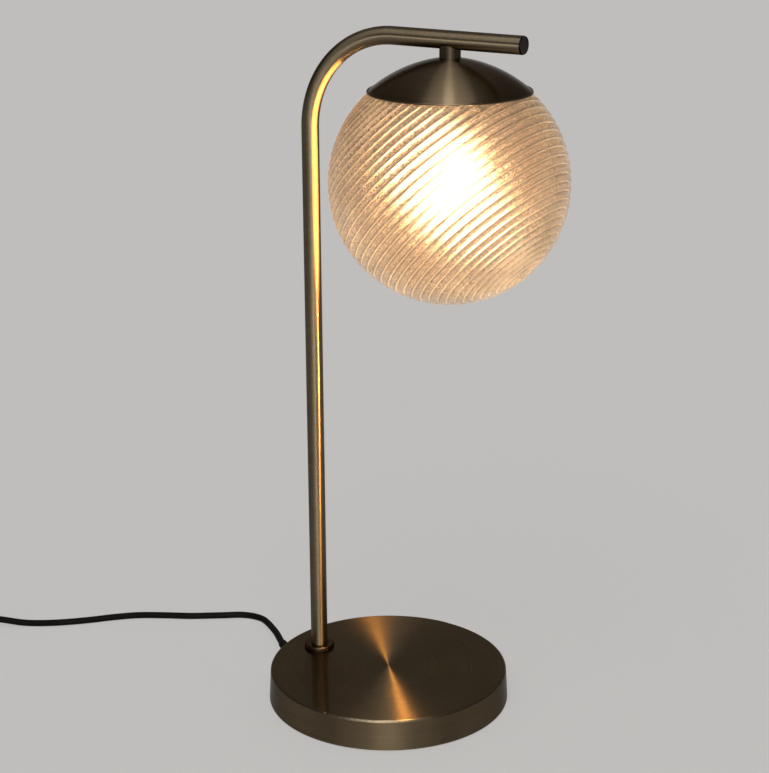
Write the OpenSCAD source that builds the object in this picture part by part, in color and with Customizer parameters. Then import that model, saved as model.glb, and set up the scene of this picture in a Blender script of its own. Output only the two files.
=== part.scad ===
// Bedside lamp with a bent-tube stem and a hanging ribbed glass globe.
// The origin is the middle of the base's underside, +X runs along the arm and +Z is up.

/* [Base] */
// Diameter of the base at its foot
base_d = 172; // [160:1:190]
// How much the base's radius narrows from foot to top
base_flare = 1.2; // [0:0.1:3]
// Height of the base, foot pad included
base_h = 22.8; // [21.5:0.1:28]
// Rounding of the base's top edge
base_edge_r = 1.6; // [1.4:0.1:2.5]
// Sheet thickness of the base cover
cover_t = 1.2; // [0.8:0.1:1.3]
// Thickness of the foot pad
pad_t = 2; // [1.5:0.1:3]
// How far the foot pad stands below the cover's edge
pad_show = 1; // [0.5:0.1:1.4]
// Thickness of the bottom plate
plate_t = 1.5; // [1:0.1:2]
// Distance of the weight's rim inside the base's foot
weight_in = 7; // [6.6:0.1:11]
// Thickness of the weight
weight_t = 9; // [8:0.1:9.5]
// Distance of the plate's screws inside the base's foot
screw_in = 20; // [16:1:36]
// Diameter of the plate's screws
plate_screw_d = 4; // [3:0.5:5]

/* [Stem] */
// Outer diameter of the stem's tube
stem_d = 12; // [11.6:0.1:13]
// Wall of the stem's tube
stem_wall = 1; // [0.8:0.1:1.2]
// Distance of the stem behind the middle of the base
stem_offset = 60; // [54:1:61]
// Height of the arm's centre line
arm_z = 473.5; // [440:0.5:520]
// Bend radius at the tube's centre line
bend_r = 66; // [40:1:80]
// Distance from the stem to the axis that the globe hangs on
hang_reach = 109; // [100:1:130]
// Length of the arm past the hanging axis
arm_over = 52.4; // [20:0.2:70]
// Diameter of the collar at the stem's foot
collar_d = 21.5; // [19:0.5:26]
// Height of the collar
collar_h = 3; // [2:0.1:6]
// Rounding of the collar's top edge
collar_edge_r = 1; // [0.5:0.1:1.5]
// Diameter of the threaded nipple in the stem's foot
nipple_d = 9.6; // [9:0.1:9.6]
// Length of the nipple inside the stem
nipple_in = 22; // [10:1:40]
// Bore of the nipple
nipple_bore = 6.8; // [6:0.1:7.4]

/* [Hanger] */
// Diameter of the neck between arm and cap
neck_d = 13.8; // [13.4:0.1:16]
// Length of the neck that shows under the arm
neck_len = 5.7; // [4:0.1:10]
// Diameter of the threaded spigot below the neck
spigot_d = 10; // [9:0.1:10.5]
// Bore of the neck and spigot, for the wires
wire_bore = 6.4; // [5.6:0.1:7]

/* [Cap] */
// Diameter of the metal cap at its rim
cap_d = 107; // [106.4:0.2:110]
// Height of the cap from rim to top
cap_h = 21.4; // [21:0.1:24]
// Radius of the cap's crown in section
cap_arc_r = 89.4; // [80:0.2:100]
// Sheet thickness of the cap
cap_t = 0.9; // [0.7:0.1:1]
// Half thickness of the rolled rim
cap_bead_r = 0.7; // [0.5:0.05:0.8]

/* [Globe] */
// Diameter of the glass globe over its ribs
globe_d = 158; // [152:1:160]
// Height of the cap's rim above the globe's centre
globe_drop = 59.4; // [59:0.1:61]
// Glass thickness under the grooves
glass_wall = 3; // [2.5:0.1:4]
// Number of ribs from pole to pole
rib_count = 44; // [30:2:48]
// Radius of a rib in section
rib_r = 3.6; // [3.4:0.1:5]
// Tilt of the ribs' axis from upright, towards the stem
rib_tilt = 45; // [0:5:60]
// Distance of the glass neck's outside from the cap's rim
mouth_in = 14; // [13.5:0.1:15.5]
// Height of the glass neck above its shoulder
mouth_h = 5.5; // [4.5:0.1:5.5]
// Thickness of the seal on the glass neck
seal_t = 0.9; // [0.6:0.1:1]
// Sheet thickness of the gallery that holds the glass
gallery_t = 1; // [0.8:0.1:1]

/* [Lampholder] */
// Length of the lampholder below its collar
holder_len = 34; // [33:0.5:36]
// Diameter of the lampholder's upper body
holder_d = 22; // [21:0.5:24]
// Diameter of the lampholder's skirt
skirt_d = 27; // [25:0.5:32]
// Length of the skirt
skirt_len = 12; // [10:0.5:14]

/* [Bulb] */
// Diameter of the bulb
bulb_d = 47; // [40:1:50]
// Length of the bulb, cap included
bulb_len = 88; // [80:1:92]
// Diameter of the bulb's screw cap
bulb_cap_d = 13.9; // [13.4:0.1:14.2]
// Length of the screw cap inside the holder
bulb_cap_len = 21; // [19:0.5:22]
// Wall of the opal dome
bulb_wall = 1.2; // [0.8:0.1:2]

/* [Cord] */
// Diameter of the cord
cord_d = 5; // [4.5:0.1:5]
// Height of the cord's exit above the table
exit_z = 8; // [8:0.1:8.4]
// Distance of the cord grip inside the base's wall
clamp_in = 7.1; // [6.5:0.1:9]
// Inner radius of the coil at the cord's centre line
coil_in_r = 22; // [21:0.5:26]
// Turns in the coil
coil_turns = 6.41; // [5.41:1:7.41]
// Free space between neighbouring turns
coil_gap = 0.45; // [0.45:0.05:1]
// Thickness of the tie round the coil
tie_t = 0.8; // [0.6:0.1:1]
// Width of the tie
tie_w = 9; // [6:1:14]

/* [Switch] */
// Length of the switch on the cord
switch_len = 56; // [50:1:60]
// Width of the switch
switch_w = 24; // [22:1:30]
// Height of the switch
switch_h = 15; // [14.5:0.5:18]
// Height of the joint between the switch's halves
switch_split_z = 6; // [6:0.5:7]
// Wall of the switch's halves
switch_wall = 1.6; // [1.2:0.1:2]
// Length of the rocker
rocker_len = 16; // [12:0.5:18]
// Width of the rocker
rocker_w = 9; // [7:0.5:12]
// Lean of the rocker to either side
rocker_lean = 8; // [4:1:9]

/* [Plug] */
// Width of the plug
plug_w = 35; // [30:1:37]
// Thickness of the plug
plug_t = 13.7; // [13:0.1:15]
// Length of the plug's body
plug_len = 34; // [30:1:40]
// Distance between the pins
pin_pitch = 18.6; // [17.5:0.1:19]
// Diameter of a pin
pin_d = 4; // [3.8:0.1:4.2]
// Length of a pin outside the plug
pin_len = 19; // [17:0.5:20]

/* [Hidden] */
$fn = 72;

// Clearances
fit = 0.15;       // between fixed pieces that slide into each other
run = 0.3;        // between pieces that move past each other
eps = 0.01;       // overlap of cutting solids

// Colours
bronze = [0.36, 0.30, 0.22];
dark_bronze = [0.17, 0.14, 0.11];
steel = [0.70, 0.70, 0.72];
iron = [0.22, 0.22, 0.23];
brass = [0.80, 0.65, 0.35];
black = [0.05, 0.05, 0.05];
cream = [0.93, 0.90, 0.84];
glass_tint = [0.92, 0.84, 0.76, 0.45];

// Base
base_r = base_d / 2;
base_top_r = base_r - base_flare;
cover_z0 = pad_show;
cover_in_z = base_h - cover_t;
plate_z = pad_t;
plate_top_z = plate_z + plate_t;
weight_z = cover_in_z - weight_t;
nut_pocket_h = 4.2;
nut_pocket_r = 12;
screw_ring_r = base_r - screw_in;
boss_r = plate_screw_d / 2 + 3;
screw_head_r = plate_screw_d * 0.93;
screw_count = 3;
wall_r = function (z) base_r - base_flare * (z - cover_z0) / (base_h - cover_z0);

// Stem
stem_r = stem_d / 2;
stem_x = -stem_offset;
hang_x = stem_x + hang_reach;
arm_end_x = hang_x + arm_over;
bend_z = arm_z - bend_r;
bend_x = stem_x + bend_r;
pocket_z = weight_z + nut_pocket_h;
washer_t = 1.2;
nut_t = 3.5;
nut_af = 15;
nipple_z0 = pocket_z - washer_t - nut_t - 1;

// Hanger and cap
cap_top_z = arm_z - stem_r - neck_len;
cap_rim_z = cap_top_z - cap_h;
cap_flat_r = neck_d / 2 + 1.1;
cap_r = cap_d / 2;
cap_chord = [cap_flat_r - cap_r, cap_h];
cap_out = [cap_h, cap_r - cap_flat_r] / norm(cap_chord);
cap_mid = [(cap_r + cap_flat_r) / 2, (cap_rim_z + cap_top_z) / 2];
cap_arc_c = cap_mid - cap_out * sqrt(cap_arc_r ^ 2 - norm(cap_chord) ^ 2 / 4);
cap_in_z = cap_top_z - cap_t;
cap_washer_t = 1.6;
gallery_z = cap_in_z - cap_washer_t;
gallery_flat_r = 13;
clip_seat_z = cap_rim_z + 12;
hanger_nut_t = 3;
hanger_nut_z = gallery_z - gallery_t - hanger_nut_t;
clip_count = 3;
clip_t = 0.5;
clip_w = 8;
clip_foot = 4;
clip_knee = 0.8;
clip_drop = 2.4;
clip_curl = 1.8;
rivet_r = 1.2;

// Globe
globe_r = globe_d / 2;
globe_z = cap_rim_z - globe_drop;
rib_pitch = 180 / rib_count;
rib_ring_r = globe_r - rib_r;
rib_flats = 4;
groove_r = rib_ring_r * cos(rib_pitch / 2) + sqrt(rib_r ^ 2 - (rib_ring_r * sin(rib_pitch / 2)) ^ 2);
glass_in_r = groove_r - glass_wall;
shoulder_z = cap_rim_z - 0.4;
mouth_r = cap_r - mouth_in;
mouth_in_r = mouth_r - glass_wall;
clip_seat_in_r = mouth_r - 19.5;
clip_seat_out_r = mouth_r - 8.5;
rivet_x = mouth_r - 13.5;
mouth_top_z = shoulder_z + mouth_h;
land_z = mouth_top_z + seal_t;

// Lampholder and bulb
holder_top_z = hanger_nut_z - 0.3;
holder_collar_h = 3;
holder_t = 1.6;
holder_z = holder_top_z - holder_collar_h;
spigot_z = holder_z - holder_t + 0.1;
skirt_z = holder_z - holder_len;
skirt_top_z = skirt_z + skirt_len;
shell_r = bulb_cap_d / 2 + 0.35;
shell_t = 0.4;
insert_z = skirt_z + bulb_cap_len + 2.2;
insert_h = 8;
insert_hole_z = insert_z + 4;
wire_end_z = insert_hole_z + 1;
bulb_r = bulb_d / 2;
bulb_tip_z = skirt_z + bulb_cap_len;
bulb_z = bulb_tip_z - bulb_len + bulb_r;
dome_cut_z = bulb_z + bulb_r * 0.6;
dome_cut_r = bulb_r * 0.8;
bulb_neck_r = 12;
bulb_neck_z = skirt_z - 1;
core_pitch = 1.4;
core_r = 1.1;
wire_turn_r = 4;

// The cord leaves the base at this angle and place. Its route is given from there.
cord_r = cord_d / 2;
coil_z = cord_r + tie_t;
exit_ang = 175;
exit_wall_r = wall_r(exit_z);
exit_p = exit_wall_r * [cos(exit_ang), sin(exit_ang), 0];

// The route from inside the base to the switch, chosen by hand along the table.
lead_route = [
    [stem_x - 4, 3, exit_z], [stem_x - 9, 5.3, exit_z],
    each [
        for (p = [
            [10.6, -0.95, exit_z], [1.6, -0.15, exit_z], [-5.4, 0.45, exit_z], [-11.7, 2.1, exit_z],
            [-18.1, 6.2, 7.8], [-25.7, 13, 7.2], [-34.4, 21.1, 6.4], [-43.7, 28.7, 5.4], [-53.1, 35.9, 4.2],
            [-62.7, 41.7, 3.2], [-73.2, 43.1, 2.6], [-83.2, 39.9, 2.5], [-92.7, 33.1, 2.5], [-103.7, 25.4, 2.5],
            [-115.7, 17.3, 2.5], [-133.7, 7.7, 2.5], [-150.7, -2.5, 2.5], [-164.7, -15, 2.5],
            [-180.7, -32.3, 2.5], [-198.7, -48.5, 2.5], [-216.7, -60.5, 2.8], [-231.7, -69, 5],
            [-240.2, -73.5, 6], [-248, -78.2, 6]
        ])
            exit_p + p
    ]
];
gland_gap = 0.35;
wall_cut = 10;
gland_hole_r = 4.5;
relief_r0 = 4.3;
relief_r1 = 3.2;
relief_first = 7;
relief_rings = 6;
sleeve_bore_r = cord_r + 0.25;
clamp_r = exit_wall_r - clamp_in;
clamp_screw_r = 1.5;
clamp_screw_y = 7;
clamp_len = 6;
clamp_w = 20;
clamp_low = 3.6;
wire_in = [lead_route[0][0] - stem_x, lead_route[0][1]];
wire_ang = atan2(wire_in[1], wire_in[0]);
wire_side = core_pitch * [-sin(wire_ang), cos(wire_ang)];

// The switch lies on the cord's line, and the coil starts on the same line behind it.
switch_ang = 212;
switch_v = [cos(switch_ang), sin(switch_ang)];
switch_in = [exit_p[0] - 243.7, exit_p[1] - 75.5];
switch_mid = switch_in + switch_v * switch_len / 2;
switch_out = switch_in + switch_v * switch_len;
run_route = [
    for (p = [
        [-286.9, -102.5, 6], [-293.7, -106.8, 6], [-300.5, -111, 5.2], [-307.3, -115.2, 4],
        [-314.1, -119.5, coil_z], [-319.2, -122.7, coil_z]
    ])
        exit_p + p
];
coil_start = [run_route[5][0], run_route[5][1]] + switch_v * cord_d;
coil_pitch = cord_d + coil_gap;
coil_out_r = coil_in_r + coil_pitch * coil_turns / 2;
coil_mid = coil_start + coil_out_r * [-switch_v[1], switch_v[0]];
coil_ang0 = switch_ang - 90;
coil_ang1 = coil_ang0 + 360 * coil_turns;
rings_a_turn = 24;
tie_ang = 30;
cord_sides = 8;
coil_sides = 6;

// The tail from the coil's upper layer to the plug beside it, chosen by hand.
coil_out_v = [-sin(coil_ang1), cos(coil_ang1), 0];
coil_end = [each (coil_mid + coil_out_r * [cos(coil_ang1), sin(coil_ang1)]), coil_z + coil_pitch];
tail_start = coil_end + coil_out_v * cord_d;
tail_route = [
    tail_start,
    each [
        for (p = [
            [-288.7, -198.5, 8.4], [-279.7, -198.5, 7], [-269.7, -198, 5.2], [-259.7, -197.3, 4.7],
            [-250.7, -196.5, 5.5], [-241.7, -195.7, 6.7], [-232.7, -194.8, plug_t / 2], [-222.7, -193.8, plug_t / 2]
        ])
            exit_p + p
    ]
];
plug_ang = 6;
plug_in = [exit_p[0] - 232.7, exit_p[1] - 194.8];
plug_z = plug_t / 2;
sleeve_len = 22;
plug_bore = 12;

function bell(t) = let (s = min(max(t, 0), 1)) s * s * (3 - 2 * s);

// A point of the coil after t turns: in on the table, then out again on the layer above.
function coil_point(t) =
    let (
        r = coil_in_r + coil_pitch * abs(t - coil_turns / 2),
        a = coil_ang0 + 360 * t,
        lift = bell((t - coil_turns / 2 + 0.25) / 0.5)
    )
    [coil_mid[0] + r * cos(a), coil_mid[1] + r * sin(a), coil_z + coil_pitch * lift];

coil_steps = round(coil_turns * rings_a_turn);
coil_turning = [for (i = [0:coil_steps]) coil_point(coil_turns * i / coil_steps)];
coil_path = [run_route[5], each coil_turning, tail_start];
coil_least_gap = min([
    for (i = [0:coil_steps])
        for (j = [i + round(rings_a_turn / 2):1:coil_steps])
            norm(coil_turning[i] - coil_turning[j])
]) - cord_d;

// A Catmull-Rom curve through the route's points.
function curve_at(a, b, c, d, t) =
    0.5 * (2 * b + (c - a) * t + (2 * a - 5 * b + 4 * c - d) * t ^ 2 + (3 * b - a - 3 * c + d) * t ^ 3);
function smooth(p, steps) =
    let (n = len(p) - 1)
    [
        for (i = [0:n - 1])
            for (s = [0:steps - 1])
                curve_at(
                    i == 0 ? 2 * p[0] - p[1] : p[i - 1], p[i], p[i + 1],
                    i == n - 1 ? 2 * p[n] - p[n - 1] : p[i + 2], s / steps
                ),
        p[n]
    ];

lead_path = smooth(lead_route, 2);

// The corners of a tube's rings: a ring of flat sides square to the path at each of its points.
function tube_points(path, radii, sides) =
    let (n = len(path))
    [
        for (i = [0:n - 1])
            let (
                step = path[min(i + 1, n - 1)] - path[max(i - 1, 0)],
                side = cross(step, [0, 0, 1]) / norm(cross(step, [0, 0, 1])),
                up = cross(side, step) / norm(step)
            )
            for (j = [0:sides - 1])
                path[i] + radii[i] * (cos(360 * j / sides) * side + sin(360 * j / sides) * up)
    ];

// The triangles between neighbouring rings.
function tube_skin(rings, sides) = [
    for (i = [0:rings - 2])
        for (j = [0:sides - 1])
            let (a = i * sides + j, b = i * sides + (j + 1) % sides)
            each [[a, b, b + sides], [a, b + sides, a + sides]]
];

// A tube of flat sides along a path, as one closed skin of triangles.
module swept_tube(path, r, sides) {
    n = len(path);
    first = [for (j = [1:sides - 2]) [0, j + 1, j]];
    last = [for (j = [1:sides - 2]) (n - 1) * sides * [1, 1, 1] + [0, j, j + 1]];
    polyhedron(
        points = tube_points(path, [for (p = path) r], sides),
        faces = concat(tube_skin(n, sides), first, last)
    );
}

// The same with a bore, and an outside that tapers evenly from r0 to r1.
module swept_sleeve(path, r0, r1, bore_r, sides) {
    n = len(path);
    count = n * sides;
    outer = tube_points(path, [for (i = [0:n - 1]) r0 + (r1 - r0) * i / (n - 1)], sides);
    inner = tube_points(path, [for (p = path) bore_r], sides);
    bore = [for (t = tube_skin(n, sides)) count * [1, 1, 1] + [t[0], t[2], t[1]]];
    ends = [
        for (j = [0:sides - 1])
            let (a = j, b = (j + 1) % sides, last = (n - 1) * sides)
            each [
                [a, a + count, b], [b, a + count, b + count],
                [a + last, b + last, a + last + count], [b + last, b + last + count, a + last + count]
            ]
    ];
    polyhedron(points = concat(outer, inner), faces = concat(tube_skin(n, sides), bore, ends));
}

// Small shared shapes

// Half of a flat dish's section: a sloping side and a rounded top edge.
module dish_section(r_foot, r_top, z0, z1, edge) {
    polygon([[0, z0], [r_foot, z0], [r_top, z1 - edge], [r_top - edge, z1], [0, z1]]);
    translate([r_top - edge, z1 - edge])
        circle(r = edge);
}

// A flat ring that stands on z.
module ring(r_out, r_in, z, h) {
    translate([0, 0, z])
        difference() {
            cylinder(r = r_out, h = h);
            translate([0, 0, -1])
                cylinder(r = r_in, h = h + 2);
        }
}

module hex_nut(af, bore_r, z, h) {
    translate([0, 0, z])
        difference() {
            cylinder(r = af / 2 / cos(30), h = h, $fn = 6);
            translate([0, 0, -1])
                cylinder(r = bore_r, h = h + 2);
        }
}

module at_stem() {
    translate([stem_x, 0, 0])
        children();
}

module at_hanger() {
    translate([hang_x, 0, 0])
        children();
}

module at_screws() {
    for (i = [0:screw_count - 1])
        rotate(360 * i / screw_count)
            translate([screw_ring_r, 0, 0])
                children();
}

// Puts +X of its children along the cord's exit, at a distance r from the base's middle.
module at_exit(r) {
    rotate(exit_ang)
        translate([r, 0, exit_z])
            children();
}

module along_x(r1, r2, h) {
    rotate([0, 90, 0])
        cylinder(r1 = r1, r2 = r2, h = h);
}

// Base

module base_cover() {
    color(bronze)
        difference() {
            rotate_extrude()
                difference() {
                    dish_section(base_r, base_top_r, cover_z0, base_h, base_edge_r);
                    dish_section(
                        base_r - cover_t, base_top_r - cover_t, cover_z0 - eps, cover_in_z,
                        max(base_edge_r - cover_t, 0.2)
                    );
                    translate([0, cover_z0 - 1])
                        square([base_r - cover_t, 1]);
                }
            at_stem()
                cylinder(r = nipple_d / 2 + fit, h = base_h + 1);
            at_exit(exit_wall_r - wall_cut)
                along_x(gland_hole_r, gland_hole_r, 2 * wall_cut);
        }
}

module base_weight() {
    color(iron)
        difference() {
            union() {
                translate([0, 0, weight_z])
                    cylinder(r = base_r - weight_in, h = weight_t);
                at_screws()
                    translate([0, 0, plate_top_z])
                        cylinder(r = boss_r, h = weight_z - plate_top_z + 1);
            }
            at_screws()
                translate([0, 0, plate_top_z - 1])
                    cylinder(d = plate_screw_d + 2 * fit, h = 9);
            at_stem()
                translate([0, 0, weight_z - 1])
                    cylinder(r = nut_pocket_r, h = nut_pocket_h + 1);
            at_stem()
                cylinder(r = nipple_d / 2 + fit, h = base_h);
            at_exit(clamp_r)
                clamp_screw_places()
                    translate([0, 0, -exit_z])
                        cylinder(r = clamp_screw_r + fit, h = weight_z + 6);
        }
}

module base_plate() {
    color(iron)
        difference() {
            translate([0, 0, plate_z])
                cylinder(r = base_r - cover_t - run, h = plate_t);
            at_screws()
                translate([0, 0, plate_z - eps])
                    cylinder(r1 = screw_head_r + fit, r2 = plate_screw_d / 2 + fit, h = plate_t + 2 * eps);
            at_exit(exit_wall_r - 6)
                translate([0, -6, -exit_z])
                    cube([12, 12, exit_z]);
        }
}

module foot_pad() {
    color(black)
        cylinder(r = base_r - cover_t - run - 0.5, h = pad_t);
}

module plate_screws() {
    color(steel)
        at_screws()
            translate([0, 0, plate_z]) {
                cylinder(r1 = screw_head_r, r2 = plate_screw_d / 2, h = plate_t);
                translate([0, 0, plate_t - eps])
                    cylinder(d = plate_screw_d, h = 5.5);
            }
}

// Stem

module stem_collar() {
    color(dark_bronze)
        at_stem()
            rotate_extrude()
                difference() {
                    dish_section(collar_d / 2, collar_d / 2, base_h, base_h + collar_h, collar_edge_r);
                    square([stem_r + fit, base_h + collar_h + 1]);
                }
}

// The stem, bend and arm as one rod of radius r, longer than the tube by grow at its free ends.
module stem_rod(r, grow) {
    at_stem()
        translate([0, 0, base_h - grow])
            cylinder(r = r, h = bend_z - base_h + grow);
    translate([bend_x, 0, bend_z])
        rotate([90, 0, 0])
            rotate_extrude(angle = 90, start = 90)
                translate([bend_r, 0])
                    circle(r = r);
    translate([bend_x, 0, arm_z])
        along_x(r, r, arm_end_x - bend_x + grow);
}

module stem_tube() {
    color(bronze)
        difference() {
            stem_rod(stem_r, 0);
            stem_rod(stem_r - stem_wall, 1);
            at_hanger()
                translate([0, 0, arm_z - stem_r - 1])
                    cylinder(d = wire_bore, h = stem_r);
        }
}

module stem_nipple() {
    color(steel)
        at_stem()
            ring(nipple_d / 2, nipple_bore / 2, nipple_z0, base_h + nipple_in - nipple_z0);
}

module stem_washer() {
    color(steel)
        at_stem()
            ring(nut_pocket_r - 1.2, nipple_d / 2 + fit, pocket_z - washer_t, washer_t);
}

module stem_nut() {
    color(steel)
        at_stem()
            hex_nut(nut_af, nipple_d / 2 + fit, pocket_z - washer_t - nut_t, nut_t);
}

module arm_end_cap() {
    color(dark_bronze)
        translate([arm_end_x, 0, arm_z]) {
            along_x(stem_r, stem_r - 0.3, 1);
            translate([-7, 0, 0])
                along_x(stem_r - stem_wall - fit, stem_r - stem_wall - fit, 7 + eps);
        }
}

// Hanger and cap

module hanger_neck() {
    ear_h = 3;
    arch_r = ((neck_d / 2) ^ 2 + ear_h ^ 2) / 2 / ear_h;
    color(dark_bronze)
        difference() {
            union() {
                at_hanger()
                    translate([0, 0, cap_top_z])
                        cylinder(d = neck_d, h = neck_len);
                intersection() {
                    at_hanger()
                        translate([0, 0, cap_top_z])
                            cylinder(d = neck_d, h = neck_len + ear_h + 1);
                    translate([hang_x, neck_d, arm_z - stem_r + ear_h - arch_r])
                        rotate([90, 0, 0])
                            cylinder(r = arch_r, h = 2 * neck_d);
                }
                at_hanger()
                    translate([0, 0, spigot_z])
                        cylinder(d = spigot_d, h = cap_top_z - spigot_z + 1);
            }
            translate([hang_x - neck_d, 0, arm_z])
                along_x(stem_r + 0.02, stem_r + 0.02, 2 * neck_d);
            at_hanger()
                translate([0, 0, spigot_z - 1])
                    cylinder(d = wire_bore, h = arm_z - spigot_z);
        }
}

module cap_washer() {
    color(steel)
        at_hanger()
            ring(spigot_d / 2 + 2.6, spigot_d / 2 + fit, cap_in_z - cap_washer_t, cap_washer_t);
}

// What lies under the crown's arc, from the rim's height up to a flat top.
module cap_section(arc_r, z0, z1) {
    intersection() {
        translate(cap_arc_c)
            circle(r = arc_r);
        translate([0, z0])
            square([cap_d, z1 - z0]);
    }
}

module dome_cap() {
    color(bronze)
        at_hanger()
            rotate_extrude()
                difference() {
                    union() {
                        cap_section(cap_arc_r, cap_rim_z, cap_top_z);
                        translate([cap_r - cap_bead_r, cap_rim_z + cap_bead_r])
                            circle(r = cap_bead_r);
                    }
                    cap_section(cap_arc_r - cap_t, cap_rim_z - 1, cap_in_z);
                    square([spigot_d / 2 + fit, cap_top_z + 1]);
                }
}

// A stepped sheet dish with a turned-down edge round the glass neck.
module glass_gallery() {
    edge_r = mouth_r + run;
    edge_z = shoulder_z + 0.4;
    color(steel)
        at_hanger()
            difference() {
                rotate_extrude()
                    polygon([
                        [spigot_d / 2 + fit, gallery_z - gallery_t],
                        [gallery_flat_r, gallery_z - gallery_t],
                        [clip_seat_in_r, clip_seat_z - gallery_t],
                        [clip_seat_out_r, clip_seat_z - gallery_t],
                        [mouth_in_r - 0.5, land_z], [edge_r, land_z], [edge_r, edge_z],
                        [edge_r + gallery_t, edge_z], [edge_r + gallery_t, land_z + gallery_t],
                        [mouth_in_r, land_z + gallery_t], [clip_seat_out_r, clip_seat_z],
                        [clip_seat_in_r, clip_seat_z], [gallery_flat_r, gallery_z],
                        [spigot_d / 2 + fit, gallery_z]
                    ]);
                rivet_places()
                    translate([0, 0, clip_seat_z - 5])
                        cylinder(r = rivet_r + 0.05, h = 10);
            }
}

module rivet_places() {
    for (i = [0:clip_count - 1])
        rotate(360 * i / clip_count)
            translate([rivet_x, 0, 0])
                children();
}

// Leaf springs that press outwards inside the glass neck and hold the globe by friction.
module spring_clips() {
    top = clip_seat_z - gallery_t;
    press_r = mouth_in_r - run;
    knee_x = rivet_x + clip_foot + clip_knee * 0.75;
    color(steel)
        at_hanger()
            difference() {
                for (i = [0:clip_count - 1])
                    rotate(360 * i / clip_count)
                        rotate([90, 0, 0])
                            linear_extrude(clip_w, center = true)
                                polygon([
                                    [rivet_x - clip_foot, top], [knee_x, top],
                                    [knee_x + clip_knee, top - clip_knee], [press_r, shoulder_z + clip_drop],
                                    [press_r - clip_curl, shoulder_z - clip_drop],
                                    [press_r - clip_curl - clip_t, shoulder_z - clip_drop + clip_t / 2],
                                    [press_r - clip_t * 1.2, shoulder_z + clip_drop],
                                    [knee_x + clip_knee - clip_t * 1.4, top - clip_knee - clip_t / 4],
                                    [knee_x - clip_t / 2, top - clip_t], [rivet_x - clip_foot, top - clip_t]
                                ]);
                rivet_places()
                    translate([0, 0, top - 2])
                        cylinder(r = rivet_r + 0.05, h = 4);
            }
}

module clip_rivets() {
    head_r = rivet_r * 1.8;
    head_t = 0.7;
    low = clip_seat_z - gallery_t - clip_t;
    color(steel)
        at_hanger()
            rivet_places() {
                translate([0, 0, low - head_t])
                    cylinder(r = head_r, h = head_t);
                translate([0, 0, low - eps])
                    cylinder(r = rivet_r, h = gallery_t + clip_t + 2 * eps);
                translate([0, 0, clip_seat_z])
                    cylinder(r = head_r, h = head_t);
            }
}

module hanger_nut() {
    color(steel)
        at_hanger()
            hex_nut(nut_af, spigot_d / 2 + fit, hanger_nut_z, hanger_nut_t);
}

// Lampholder

module holder_cap() {
    r = holder_d / 2;
    color(cream)
        at_hanger()
            rotate_extrude()
                polygon([
                    [spigot_d / 2 + fit, holder_top_z], [spigot_d / 2 + 2.2, holder_top_z],
                    [spigot_d / 2 + 2.2, holder_z], [r - 1.5, holder_z], [r, holder_z - 2],
                    [r, skirt_top_z], [r - 1.2, skirt_top_z], [r - 1.2, holder_z - 3],
                    [r - 2.7, holder_z - holder_t], [spigot_d / 2 + fit, holder_z - holder_t]
                ]);
}

module holder_skirt() {
    color(cream)
        at_hanger()
            rotate_extrude()
                polygon([
                    [shell_r + shell_t + fit, skirt_z], [skirt_d / 2 - 0.8, skirt_z],
                    [skirt_d / 2, skirt_z + 0.8], [skirt_d / 2, skirt_top_z - 2],
                    [skirt_d / 2 + 0.8, skirt_top_z - 1.6], [skirt_d / 2 + 0.8, skirt_top_z - 0.4],
                    [skirt_d / 2 + 0.2, skirt_top_z], [shell_r + shell_t + fit, skirt_top_z]
                ]);
}

module holder_insert() {
    color([0.85, 0.83, 0.78])
        at_hanger()
            difference() {
                translate([0, 0, insert_z])
                    cylinder(d = holder_d - 2.4 - 2 * fit, h = insert_h);
                for (side = [-1, 1])
                    translate([-side * wire_side[0], side * wire_side[1], insert_hole_z])
                        cylinder(r = core_r + 0.1, h = insert_h);
            }
}

module thread_shell() {
    color(brass)
        at_hanger()
            ring(shell_r + shell_t, shell_r, skirt_z + 1, insert_z - skirt_z - 1);
}

module centre_contact() {
    color(brass)
        at_hanger()
            translate([-3, -2, bulb_tip_z]) {
                cube([6, 4, 0.5]);
                translate([0, 0, 0.4])
                    cube([0.5, 4, insert_z - bulb_tip_z - 0.4]);
            }
}

// A quarter of a bend in a core, in the XZ plane, from one angle to the next.
module core_bend(r, start) {
    rotate([90, 0, 0])
        rotate_extrude(angle = 90, start = start)
            translate([r, 0])
                circle(r = core_r);
}

// The two insulated cores from the cord's end, up the stem and along the arm to the lampholder.
module inner_wires() {
    $fn = 24;
    color([0.35, 0.2, 0.12])
        for (side = [-1, 1]) {
            off = side * wire_side[0];
            at_stem() {
                rotate(wire_ang)
                    translate([0, side * core_pitch, exit_z]) {
                        translate([wire_turn_r, 0, 0])
                            along_x(core_r, core_r, norm(wire_in) - wire_turn_r);
                        translate([wire_turn_r, 0, wire_turn_r])
                            core_bend(wire_turn_r, 180);
                    }
                translate([off, side * wire_side[1], exit_z + wire_turn_r])
                    cylinder(r = core_r, h = bend_z - exit_z - wire_turn_r);
            }
            translate([0, side * wire_side[1], 0]) {
                translate([bend_x, 0, bend_z])
                    core_bend(bend_r - off, 90);
                translate([bend_x, 0, arm_z - off])
                    along_x(core_r, core_r, hang_x - wire_turn_r - bend_x);
                translate([hang_x - wire_turn_r, 0, arm_z - wire_turn_r])
                    core_bend(wire_turn_r - off, 0);
                translate([hang_x - off, 0, wire_end_z])
                    cylinder(r = core_r, h = arm_z - wire_turn_r - wire_end_z);
            }
        }
}

// Globe

module globe_seal() {
    color([0.8, 0.8, 0.78])
        at_hanger()
            ring(mouth_r - 0.3, mouth_in_r + 0.3, mouth_top_z, seal_t);
}

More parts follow.
